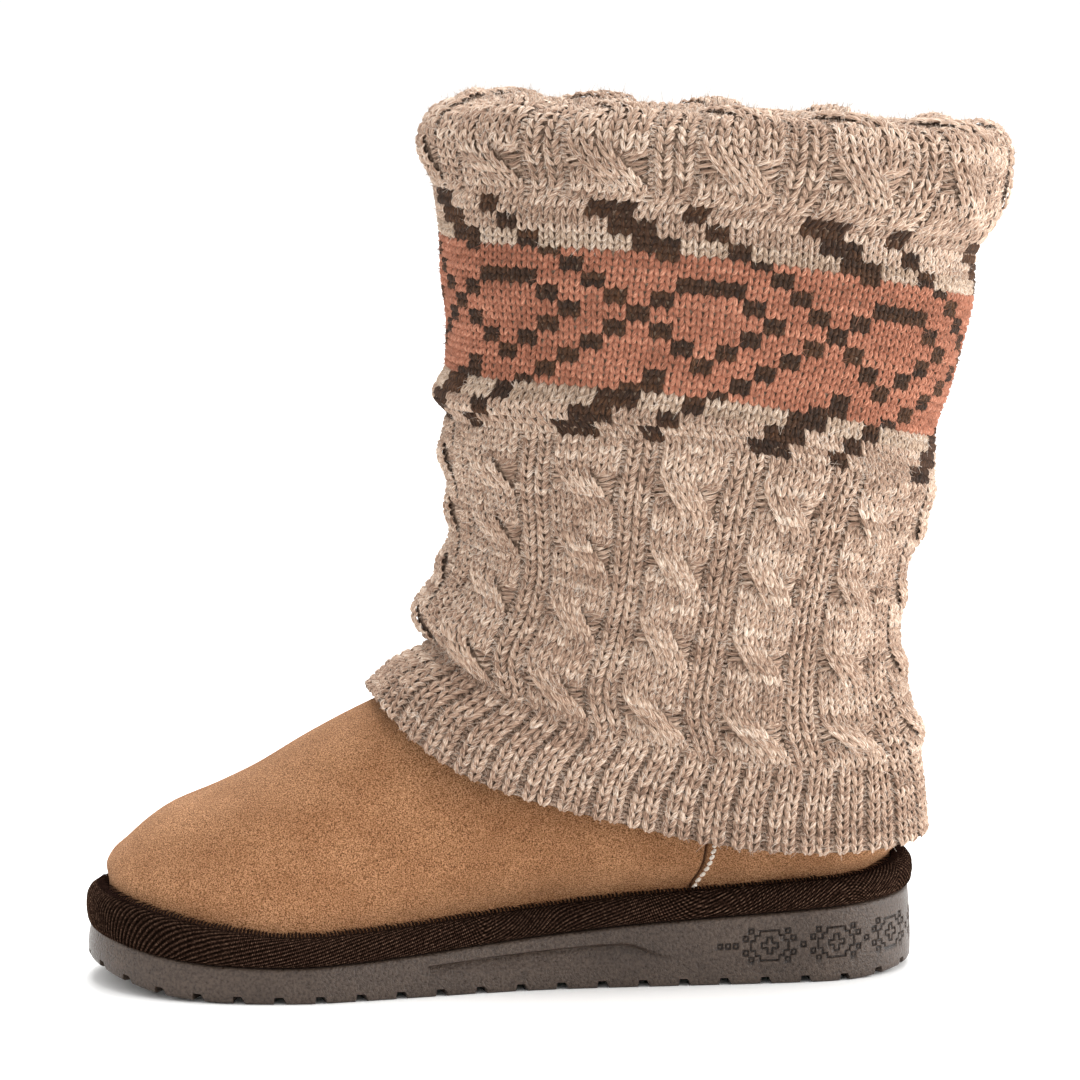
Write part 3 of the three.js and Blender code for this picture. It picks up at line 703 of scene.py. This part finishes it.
# The sweep: wire paths become curves, turned to face outward, and a half-round section is
# carried along them.
sweep = bpy.data.node_groups.new("thread_sweep", "GeometryNodeTree")
for name, way, kind in (("Geometry", "OUTPUT", "Geometry"), ("Paths", "INPUT", "Geometry"),
                        ("Loft", "INPUT", "Float"), ("Corners", "INPUT", "Int"),
                        ("Finish", "INPUT", "Material")):
    sweep.interface.new_socket(name, in_out=way, socket_type="NodeSocket" + kind)


def sweep_node(kind, inputs=None, **settings):
    """Adds a node to the sweep and returns its first output."""
    return add_node(sweep, "GeometryNode" + kind, inputs, **settings).outputs[0]


def kept_spot(geometry, name):
    """Keeps the share of each curve's length under a name."""
    return sweep_node("StoreNamedAttribute", {
        "Geometry": geometry, "Name": name,
        "Value": sweep_node("SplineParameter")}, data_type="FLOAT", domain="POINT")


entry = add_node(sweep, "NodeGroupInput").outputs
half_round = sweep_node("CurveArc", {
    "Radius": 1.0, "Start Angle": -math.pi / 2, "Sweep Angle": math.pi,
    "Resolution": entry["Corners"]}, mode="RADIUS")
squash = add_node(sweep, "ShaderNodeCombineXYZ", {"X": entry["Loft"], "Y": 1.0, "Z": 1.0})
half_round = sweep_node("Transform", {"Geometry": half_round, "Scale": squash.outputs[0]})
facing_out = sweep_node("InputNamedAttribute", {"Name": "face"}, data_type="FLOAT_VECTOR")
paths = sweep_node("MeshToCurve", {"Mesh": entry["Paths"]})
paths = sweep_node("SetCurveNormal", {"Curve": paths, "Normal": facing_out}, mode="FREE")
thread = sweep_node("CurveToMesh", {
    "Curve": kept_spot(paths, "along"), "Profile Curve": kept_spot(half_round, "across"),
    "Scale": sweep_node("InputNamedAttribute", {"Name": "thick"}, data_type="FLOAT")})
thread = sweep_node("RealizeInstances", {
    "Geometry": sweep_node("SetShadeSmooth", {"Geometry": thread})})
add_node(sweep, "NodeGroupOutput", {"Geometry": sweep_node("SetMaterial", {
    "Geometry": thread, "Material": entry["Finish"]})})


def swept_thread(name, points, faces_out, widths, tones, finish, corners=4, loft=1.0):
    """Thread or yarn along many short paths of equal point count, kept as a plain mesh."""
    count, stations = points.shape[:2]
    mesh = bpy.data.meshes.new(name)
    mesh.vertices.add(count * stations)
    mesh.vertices.foreach_set("co", (points * 0.001).astype(np.float32).ravel())
    start = (np.arange(count)[:, None] * stations + np.arange(stations - 1)[None, :]).ravel()
    mesh.edges.add(len(start))
    mesh.edges.foreach_set("vertices", np.stack([start, start + 1], 1).astype(np.int32).ravel())
    mark(mesh, "face", faces_out)
    mark(mesh, "thick", np.broadcast_to(widths, (count, stations)) * 0.001)
    mark(mesh, "tone", np.repeat(np.broadcast_to(tones, count), stations))
    piece = placed(name, mesh)
    modifier = piece.modifiers.new("thread_sweep", "NODES")
    modifier.node_group = sweep
    for size, value in (("Loft", loft), ("Corners", corners), ("Finish", finish.material)):
        modifier[sweep.interface.items_tree[size].identifier] = value
    bpy.context.view_layer.update()
    evaluated = piece.evaluated_get(bpy.context.evaluated_depsgraph_get())
    mesh = bpy.data.meshes.new_from_object(evaluated)
    piece.modifiers.clear()
    piece.data = mesh
    return piece


def on_upper(along, height, side):
    """Place on the leather, on the outer (-1) or the inner (1) side, and its way out."""
    shape = section_at(height)
    part = (along + np.array((0, 0.5)) - shape[0]) / (shape[1] - shape[0])
    here, ahead = section_sides(shape, part)[0 if side > 0 else 1]
    x, y = (ahead - here) * side
    return np.array((*here, upper_height(along, height))), unit(np.array((y, -x, 0.0)))


seam_paths, seam_ways = [], []
for side in (-1, 1):
    for height in np.arange(seam_stitch_first, seam_stitch_last, seam_stitch_step):
        path = []
        for share in (-1, -0.35, 0.35, 1):
            at, out = on_upper(seam_at(height) + 0.1 - share * 0.66, height + share * 0.72, side)
            path.append(at + out * (1.15 - 0.5 * share * share))
        seam_paths.append(path)
        seam_ways.append([out] * 4)
cream_thread = Finish("cream_thread", 0.7)
cream_thread.speckled(1400, 2, "0.3 cbb8a4 0.7 efe6da")
ply = cream_thread.maths("SINE", cream_thread.maths(
    "MULTIPLY_ADD", cream_thread.own("along"), 14.0, 0.5))
cream_thread.look({"Normal": cream_thread.relief(ply, 0.0003, 0.6)})
seam_stitches = swept_thread("seam_stitches", np.array(seam_paths), np.array(seam_ways),
                             (0.36, 0.62, 0.62, 0.4), 0.5, cream_thread)
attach(seam_stitches, "root")

head_line = closed_line(section_at(tooth_head), round_shares(feather_half))
numbers = numbers_at(tape_way, np.arange(0, tape_way[-1] - 1, tooth_step))
foot_line, foot_out, head_at = (
    sampled(line, numbers) for line in (feather, feather_out, head_line))
foot_along, head_along = along_foot(foot_line), along_foot(head_at)
foot = np.c_[foot_line + foot_out * (gap + 3.6), sole_top(foot_along) + gap
                        + (binding_height + tape_climb(foot_along)) * 0.99 + tooth_foot]
tooth_dice = np.random.default_rng(3)
head = np.c_[head_at + foot_out * 0.15, upper_height(head_along, tooth_head)]
head[:, 2] += tooth_dice.normal(0, 0.22, len(head))
bow = (foot + head) / 2 + np.c_[foot_out * 0.35, np.full(len(foot), 0.5)]
teeth_ways = np.repeat(np.c_[foot_out, np.full(len(foot), 0.6)][:, None], 3, 1)
dark_thread = Finish("dark_thread", 0.75, shine=0.0)
dark_thread.speckled(1600, 2, "0.3 0d0705 0.7 2b1d18")
edge_stitches = swept_thread("edge_stitches", np.stack([foot, bow, head], 1), teeth_ways,
                             (0.36, 0.4, 0.26), 0.5, dark_thread)
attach(edge_stitches, "root")

# --- knitted cuff: its cloth ---
# One knitted tube: a ribbed hem, a zone of cables, a patterned band and a cabled collar that
# rolls over its top and down inside the shaft. This is the cloth that the stitches stand on.

# courses are counted from the hem's edge, wales round the leg
hem_end, cables_end, coral_start, coral_end, collar_start, courses = 10, 44, 50, 68, 74, 106
wales, panel = 120, 10
grid_fine = 4  # points of the cloth to a stitch, both ways
crossings = (13.1, 21.3, 29.9, 38.2)
collar_crossings = (78.2, 86.2, 94.2, 102.2)
crossing_half, crossing_long = 3.0, 2.4
strand_crown, strand_half = 1.9, 2.0
over_lift, under_lift, ditch, collar_ditch = 1.85, -1.8, -1.1, 0.7
rib_middle, rib_half, rib_height = 5, 1.68, 0.75
ground_drop, ground_share, ground_thick = 0.4, 0.7, 0.0016
cuff_course = (0, 5, 10, 14.4, 20.4, 26.8, 32.5, 38.4, 44, 47, 50, 56, 62, 68, 72.6, 75.7, 79.8,
               82.4, 84.5, 87.4, 90.8, 94.1, 100.2, 106)
cuff_sizes = dict(  # a column for each of those courses
    front=(181.1, 172.4, 158.8, 163, 155.6, 151.8, 152.2, 153.9, 153.4, 159.2, 154.8, 154.4,
           156.1, 156.6, 158.1, 158.9, 160.8, 158, 150.2, 143.6, 139, 137.8, 138.6, 138.4),
    back=(-3.3, -2, -0.8, 1.6, 5.6, 7, 5.2, 0.2, -5.4, -6, -5.8, -10.4, -14.6, -18, -18.4,
          -23.4, -27.6, -28.8, -26, -16.5, -3, 3.4, 5.6, 6.6),
    half=(47.8, 47.8, 47.4, 47.4, 47.4, 48.5, 50.5, 53.5, 56, 57.5, 59, 62, 64.5, 66, 67, 68.5,
          70.5, 69.5, 65, 57.5, 49, 43.8, 43.6, 43.4),
    blunt=(3.1, 3.1, 2.7, 2.4) + (2.2,) * 20,
    front_high=(94.5, 102.5, 110.8, 121, 134, 147.5, 160, 173, 185, 192.5, 201.5, 216, 231,
                245.5, 257.5, 266, 277, 284.4, 287.6, 288.6, 286.4, 279, 264, 248),
    side_high=(53, 66.4, 80, 93, 111, 130, 147, 164.5, 181, 188.5, 196.8, 212, 227.5, 242.3,
               254, 261.5, 272, 278.8, 282, 283.2, 281, 274, 258, 242),
    back_high=(46.4, 59, 73, 84.5, 100, 116.5, 131.5, 147, 161, 169, 177.5, 193, 208.5, 224,
               236, 247.5, 262, 270.6, 275.8, 277.2, 274.6, 267, 251, 235),
    droop=(16, 14, 9, 4) + (0,) * 20)
# how far the panels turn round the leg, in panels, and how much they crowd together
turn = curve_through((0, 5, 10, 20, 27, 33, 38, 44, 50, 60, 72, 76, 80, 84, 88), (
    -0.2, -0.245, -0.29, -0.27, -0.24, -0.2, -0.19, -0.19, -0.2, -0.195, -0.155, -0.06, -0.05,
    -0.1, -0.12))
crowd = curve_through((0, 44, 56, 74, 80), (0.1, 0.11, 0.13, 0.13, 0.05))
first_panel, panels_round = 0.528, wales // panel

grid_v = np.arange(0, courses + 0.01, 1 / grid_fine)
grid_u = np.arange(0, wales + 0.01, 1 / grid_fine)
row = {name: curve_through(cuff_course, sizes)(grid_v)[:, None]
       for name, sizes in cuff_sizes.items()}


def bulge(value):
    """Sine or cosine of an oval whose corners are as blunt as the course has them."""
    return np.sign(value) * np.abs(value) ** (2 / row["blunt"])


angle = np.linspace(0, 2 * np.pi, 961)[None, :]
ahead = -bulge(np.cos(angle))
along = (row["front"] + row["back"]) / 2 + ahead * (row["front"] - row["back"]) / 2
collar_tilt = 0.4 * np.sin(angle) ** 2 - 2.6 * np.sin(angle)
oval = np.stack([
    heel_back - along,
    swing(along) + row["half"] * bulge(np.sin(angle)),
    row["side_high"] + (row["front_high"] - row["back_high"]) / 2 * ahead
    + ((row["front_high"] + row["back_high"]) / 2 - row["side_high"]) * ahead ** 2
    + np.where(ahead > 0, row["droop"] * (ahead ** 6 - ahead ** 2), 0)
    + ease(grid_v, 70, 80)[:, None] * collar_tilt], -1)
oval_way = np.linalg.norm(np.diff(oval, axis=1), axis=2).cumsum(1)
oval_way = np.pad(oval_way, ((0, 0), (1, 0)))
cloth = np.zeros((len(grid_v), len(grid_u), 3))
for r, v in enumerate(grid_v):
    bunch = np.sin(2 * np.pi * ((grid_u - 4) / panel - 8) / panels_round)
    bunch = bunch * (1 + 0.5 * (bunch > 0) * ease(v, 44, 50) * ease(v, 78, 72)
                     + 1.1 * (bunch < 0) * ease(v, 4, 12) * ease(v, 36, 24))
    panels = first_panel + grid_u / panel + turn(v) - crowd(v) * bunch
    distance = (panels / panels_round % 1) * oval_way[r, -1]
    for k in range(3):
        cloth[r, :, k] = np.interp(distance, oval_way[r], oval[r, :, k])
cloth[:, -1] = cloth[:, 0]


def facing(surface):
    """Outward directions of the tube, at every point of its grid."""
    around = np.concatenate([surface[:, -2:-1], surface, surface[:, 1:2]], 1)
    around = around[:, 2:] - around[:, :-2]
    return unit(np.cross(around, np.gradient(surface, axis=0)))


def in_cables(v):
    return (ease(v, hem_end - 1, hem_end + 1.5) * ease(v, cables_end + 1.5, cables_end - 1.5)
            + ease(v, collar_start - 0.5, collar_start + 2.5) * (1 - 0.7 * ease(v, 93, 99)))


def in_hem(v):
    return 1 - ease(v, hem_end - 1.5, hem_end + 1)


def strand_path(slot, v, centres):
    """Where a three-wale strand runs in its panel, and how high it stands at each crossing."""
    x, lift = np.full(v.shape, 2.5 + 3 * slot), np.zeros(v.shape)
    for centre in centres:
        half = crossing_half * (1.1 if centre > collar_start else 1)
        if slot == 1:
            x = x - 3 * ease(v, centre - half, centre + half)
            lift = lift + over_lift * hill(v, centre, crossing_long)
        else:
            x = x + 3 * ease(v, centre - 0.7, centre + 1.6)
            lift = lift + under_lift * hill(v, centre + 0.4, 1.2)
        slot = 1 - slot
    return x, lift


def strand_dome(offset, lift):
    return lift + strand_crown * (1 - (offset / strand_half) ** 2)


def skin_height(u, v, raised=1.0):
    """How far the knit's skin stands out from the cloth: ribs, ditches and crossing strands."""
    from_rib = np.abs((u - 4) % panel - rib_middle)
    in_collar = v >= coral_start
    height = np.maximum(
        ditch - collar_ditch * in_collar,
        rib_height * (1 - (from_rib / rib_half) ** 4) - 0.3 * hill(from_rib, 0, 0.3))
    for places, here in ((crossings, ~in_collar), (collar_crossings, in_collar)):
        for slot in (0, 1):
            x, lift = strand_path(slot, v, places)
            dome = strand_dome(u % panel - x, lift * np.where(lift > 0, raised, 1))
            height = np.where(here, np.maximum(height, dome), height)
    from_ditch = np.abs((u - 1) % 3 - 1.5)
    ribbed = 0.6 - 0.15 * hill(from_ditch, 1.5, 0.3) - 1.5 * hill(from_ditch, 0, 0.28)
    return in_cables(v) * height + in_hem(v) * ribbed


cloth_face = facing(cloth)
relief = skin_height(grid_u[None, :], grid_v[:, None])
knit_face = unit(facing(cloth + cloth_face * relief[:, :, None]) + 0.8 * cloth_face)
charted = np.concatenate([cloth, cloth_face, knit_face, relief[:, :, None]], 2)


def on_cloth(u, v):
    """Place on the cloth, the way out of it, the way out of the skin, and the skin's height."""
    u, v = (u % wales) * grid_fine, np.clip(v, 0, courses) * grid_fine
    i = np.minimum(u.astype(int), len(grid_u) - 2)
    j = np.minimum(v.astype(int), len(grid_v) - 2)
    fu, fv = (u - i)[..., None], (v - j)[..., None]
    low = charted[j, i] * (1 - fu) + charted[j, i + 1] * fu
    high = charted[j + 1, i] * (1 - fu) + charted[j + 1, i + 1] * fu
    found = low * (1 - fv) + high * fv
    return found[..., :3], found[..., 3:6], found[..., 6:9], found[..., 9]


# a row to a course where the knit is in relief, and to three courses on the flat band
plain_from, plain_to, last_row = (grid_fine * v for v in (cables_end, collar_start, courses))
ground_rows = np.r_[0:plain_from:4, plain_from:plain_to:12, plain_to:last_row:4, last_row]
ground_relief = skin_height(grid_u[None, :], grid_v[:, None], ground_share) - ground_drop
ground_rings = (cloth + cloth_face * ground_relief[:, :, None])[ground_rows, :-1:2]
# The ground's wool is dark: a sheet of painted shade that shows in the gaps between the stitches.
ground_shade_wool = Finish("ground_shade_wool", 1.0)
ground_shade_wool.speckled(900, 3, "0.36 45352a 0.5 725c4c 0.64 a08976")
ground_shade_wool.look({"Normal": ground_shade_wool.relief(
    ground_shade_wool.noise(ground_shade_wool.place(), 1200, 2), 0.0006, 0.8)})
ground = piece_from(joined_rings("knit_shade_ground", ground_rings), ground_shade_wool)
thickness = ground.modifiers.new("thickness", "SOLIDIFY")
thickness.thickness, thickness.offset = ground_thick, -1
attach(ground, "root")
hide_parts("knit_cuff")

# --- knitted cuff: its stitches ---
# Two-ply wool in four colours. Each stitch shows two legs of yarn, a purl shows two short
# bars, and six wales of each cable cross three over three about every eight courses.

yarn_spots = np.linspace(0, 1, 4)[None, :]  # along a leg
leg_width = np.array((0.7, 1.05, 1.05, 0.74))
leg_lift = np.array((-0.65, 0.35, 0.35, -0.6))
yarn_loft, bridge_loft = 0.8, 0.9  # how far the yarn's half-round stands out
hidden_deep, hem_drop = -0.9, np.array((0, 0, 2.6))
hair_length, hair_width = (0.9, 2.7), (0.08, 0.035)
purl_size, band_size, rope_size, hem_size, rib_size = 0.55, 0.71, 0.78, 0.82, 0.84
# middle and width, in wales, of each wale of a cable panel and of the hem's rib
cable_middle = np.array((0.72, 1.5, 2.5, 3.5, 4.5, 5.5, 6.5, 7.28, 8.2, 9.8))
cable_wide = np.array((0.45, 1, 1, 1, 1, 1, 1, 0.45, 1.6, 1.6))
hem_middle, hem_wide = np.array((0.35, 1.65, 2.5)), np.array((1.3, 1.3, 0.4))
beige, cream, coral, brown = range(4)
# brown blocks of the band's chart: line, counted down from the coral's top, and places
brown_blocks = {
    -3: (0, 5, 6), -2: (1, 6, 7), -1: (2, 7, 8), 0: (3, 8), 1: (4,), 2: (0, 1, 2, 5),
    3: (8, 3, 6), 4: (7, 4), 5: (8, 3, 6), 6: (0, 2, 5), 7: (1, 4), 8: (3, 8), 9: (2, 7, 8),
    10: (1, 6, 7), 11: (0, 5, 6), 12: (8, 4, 5)}
block_wales, repeat_blocks, chart_start = 2, 9, 81
# threads under a crossing, from the ditch with the higher wales and from the other one: how
# many, first course, courses to the next, bend, reach across and wales to the next
bridge_sides = (
    (7, 1.2, -0.52, (0.5, 0.12, -0.15, -0.3), (7.27, 6.6, 5.85, 5.05), -0.1),
    (5, -0.1, 0.62, (-0.4, -0.1, 0.15, 0.3), (0.8, 1.4, 2.1, 2.9), -0.08))
bridge_rise = np.array((-0.3, 0.35, 0.3, -0.4))
wool_dice = np.random.default_rng(21)


def chart(u, c):
    """Yarn of a stitch in the patterned band."""
    from_coral = np.maximum(coral_start - c, c - coral_end + 1)
    ground = np.where(from_coral <= 0, coral, np.where(from_coral <= 2, cream, beige))
    block = ((u - chart_start) // block_wales) % repeat_blocks
    from_top = coral_end - 1 - c
    line = np.where(from_top < 0, from_top // 2, (from_top + 1 + (from_top > 16)) // 2)
    for number, blocks in brown_blocks.items():
        ground = np.where((line == number) & np.isin(block, blocks), brown, ground)
    return ground


def is_rope(c, w):
    return (w % panel >= 1) & (w % panel <= 6)


def stitch_paths(c, w):
    """Both legs of each stitch: points, outward directions, widths, course, wale and depth."""
    hem, in_band = c < hem_end, (c >= cables_end) & (c < collar_start)
    k, h = w % panel, w % 3
    purl = np.where(hem, h == 2, ~in_band & ((k == 0) | (k == 7)))
    rope = ~hem & ~in_band & is_rope(c, w)
    size = np.select([purl, in_band, rope, hem], [purl_size, band_size, rope_size, hem_size],
                     rib_size)
    purls, ropes, t = purl[:, None], rope[:, None], yarn_spots
    found = []
    for side in (-1, 1):
        jitter = wool_dice.normal(0, 1, (3, len(c)))[:, :, None]
        v = np.where(purls, c[:, None] + 0.5 + side * (0.14 + 0.16 * np.sin(np.pi * t)),
                     c[:, None] - 0.2 + 1.38 * t) + 0.05 * jitter[0]
        cables, hems = in_cables(v).clip(0, 1), in_hem(v)
        middle = ((w + 0.5)[:, None] + cables * (cable_middle[k] - k - 0.5)[:, None]
                  + hems * (hem_middle[h] - h - 0.5)[:, None])
        wide = 1 + cables * (cable_wide[k] - 1)[:, None] + hems * (hem_wide[h] - 1)[:, None]
        strand = np.zeros(v.shape)
        for slot in (0, 1):
            for centres, zone in ((crossings, c < cables_end),
                                  (collar_crossings, c >= collar_start)):
                mine = rope & zone & ((k > 3) == (slot == 1))
                x, lift = strand_path(slot, v[mine], centres)
                offset = ((k[mine] - 1) % 3 - 1)[:, None] * (1.05 + 0.06 * (lift > 0.3))
                middle[mine] = (w[mine] - k[mine])[:, None] + x + offset
                strand[mine] = strand_dome(offset, lift)
        splay = np.where(ropes, 0.03 + 0.4 * t ** 0.8,
                         np.where(in_band[:, None], 0.07, 0.05) + 0.34 * t ** 0.8)
        u = np.where(purls, middle + (t - 0.5) * 1.2 * wide, middle + side * wide * splay)
        cloth_at, cloth_out, out, skin = on_cloth(u + 0.02 * jitter[1], v)
        own = np.where(ropes, in_cables(v) * strand, skin)
        shown = (own - skin).max(1) > hidden_deep
        rise = np.where(purls, 0.3 * np.sin(np.pi * t) - 0.35, leg_lift) + 0.05 * jitter[2]
        point = cloth_at + cloth_out * (own + rise)[..., None]
        point = point + np.minimum(v, 0)[..., None] * hem_drop
        width = size[:, None] * leg_width[None, :] * (1 + 0.05 * jitter[0])
        # How low the leg lies in the knit, used to darken its colour: painted shade in the ditches
        # and under the crossings.
        low = ((cables + hems) * (0.9 - own) / 2).clip(0, 1).mean(1)
        found.append([part[shown] for part in (point, out, width, c, w, low)])
    return [np.concatenate(parts) for parts in zip(*found)]


def yarn_finish(name, tone_share, stops):
    """Wool: fibres run along the yarn with the twist of its plies, in several shades."""
    wool = Finish(name, 0.95)
    maths, (along, across, tone) = wool.maths, map(wool.own, ("along", "across", "tone"))
    fibres = wool.noise(wool.node("CombineXYZ", {
        "X": maths("ADD", maths("MULTIPLY", along, 1.5), maths("MULTIPLY", tone, 61)),
        "Y": maths("ADD", maths("MULTIPLY", across, 3.4), maths("MULTIPLY", along, -2.2)),
        "Z": maths("MULTIPLY", tone, 37)}).outputs["Vector"], 1.6, 2, 0.6)
    shade = maths("ADD", fibres, maths("MULTIPLY", maths("SUBTRACT", tone, 0.5), tone_share))
    wool.look({"Base Color": wool.ramp(shade, stops),
               "Normal": wool.relief(fibres, 0.0005, 0.9)})
    wool.sheen(0.3, stops[-6:], 0.6)
    return wool


# The last finish is a lighter copy of the heather wool for the loose hairs: painted light through
# the fuzz.
beige_wool, cream_wool, coral_wool, brown_wool, painted_light_fluff = (
    yarn_finish(*wool) for wool in (
        ("heather_wool", 0.24, "0.3 674c3b 0.42 91735f 0.5 ab8d78 0.6 c6ac97 0.72 e6d6c5"),
        ("cream_wool", 0.22, "0.3 705844 0.44 9c836e 0.58 bca48f 0.72 dccbba"),
        ("coral_wool", 0.22, "0.3 6a3f2b 0.44 945b44 0.58 af7158 0.72 cc967b"),
        ("brown_wool", 0.25, "0.3 160c04 0.45 2b180a 0.58 402612 0.74 5f3e24"),
        ("painted_light_fluff", 0.3, "0.3 9d8674 0.5 d0bba9 0.7 f1e6da")))


def tones_of(c, w):
    """Shade of each leg: it drifts along the yarn and jumps a little from leg to leg."""
    knots = wool_dice.uniform(0, 1, (courses + 1, 31))
    spot = (w / 4.0) % 30
    i = spot.astype(int)
    drift = knots[c, i] * (1 - spot + i) + knots[c, i + 1] * (spot - i)
    return np.clip(0.72 * drift + 0.28 * wool_dice.uniform(0, 1, len(c)), 0, 1)


def knitted(name, first, last, chosen, wool=beige_wool, fluff=painted_light_fluff, hairy=2.9):
    """A piece of stitches, with the loose hairs that stand off its yarn."""
    c, w = (each.ravel() for each in np.mgrid[first:last, 0:wales])
    kept = chosen(c, w)
    points, out, widths, c, w, low = stitch_paths(c[kept], w[kept])
    # Legs that lie low are darkened: painted shade.
    tones = tones_of(c, w) - 0.5 * low
    piece = swept_thread(name, points, out, widths, tones, wool, loft=yarn_loft)
    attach(piece, "root")
    leg = wool_dice.integers(0, len(points), int(len(points) * hairy))
    spot = wool_dice.integers(1, 3, len(leg))
    root_out = out[leg, spot]
    root = points[leg, spot] + root_out * 0.55
    run = unit(points[leg, spot + 1] - points[leg, spot - 1])
    one, three = (len(leg), 1), (len(leg), 3)
    way = (root_out * wool_dice.uniform(0.05, 0.75, one) + wool_dice.normal(0, 0.4, three)
           + run * wool_dice.uniform(-1.1, 1.1, one))
    length = wool_dice.uniform(*hair_length, one)
    # Hairs are painted lighter than the yarn they stand off: a painted glow of light through the
    # fuzz.
    hair = swept_thread(name + "_hair", np.stack([root, root + way * length], 1),
                        np.repeat(root_out[:, None], 2, 1), hair_width,
                        np.clip(tones[leg] + 0.25, 0, 1), fluff, corners=2)
    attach(hair, "root")
    return [piece, hair]


def bridges():
    """The strand that passes under each crossing, drawn across from the ditches beside it."""
    paths, ways = [], []
    for centre in crossings + collar_crossings:
        taller = 1.3 if centre > collar_start else 1.15
        for first in np.arange(0, wales, panel):
            for count, course, climb, bend, reach, shift in bridge_sides:
                for n in range(count):
                    v = centre + (course + climb * n) * taller + np.array(bend)
                    u = first + np.array(reach) + shift * n
                    cloth_at, cloth_out, out, skin = on_cloth(u, v + wool_dice.normal(0, 0.06, 4))
                    rise = bridge_rise + np.minimum(skin, 0.6)
                    paths.append(cloth_at + cloth_out * rise[:, None])
                    ways.append(out)
    # The threads under the crossings take darker tones than the stitches: painted shade.
    piece = swept_thread(
        "knit_crossed_yarn", np.array(paths), np.array(ways), (0.45, 0.7, 0.68, 0.5),
        wool_dice.uniform(0.0, 0.7, len(paths)), beige_wool, loft=bridge_loft)
    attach(piece, "root")
    return [piece]


def is_rib(c, w):
    return ~is_rope(c, w)


def in_yarn(yarn):
    return lambda c, w: chart(w, c) == yarn


stitch_pieces = []
for name, *kind in (  # first and last course, stitches, yarn, hairs' yarn and hairs to a leg
        ("hem", 0, hem_end, lambda c, w: c >= 0),
        ("cables", hem_end, cables_end, is_rope),
        ("cable_ribs", hem_end, cables_end, is_rib),
        ("band_beige", cables_end, collar_start, in_yarn(beige)),
        ("band_cream", cables_end, collar_start, in_yarn(cream), cream_wool),
        ("band_coral", cables_end, collar_start, in_yarn(coral), coral_wool, coral_wool),
        ("band_brown", cables_end, collar_start, in_yarn(brown), brown_wool, brown_wool, 2.0),
        ("collar_cables", collar_start, courses, is_rope, beige_wool, painted_light_fluff, 3.6),
        ("collar_ribs", collar_start, courses, is_rib, beige_wool, painted_light_fluff, 3.6)):
    stitch_pieces += knitted("knit_" + name, *kind)
stitch_pieces += bridges()
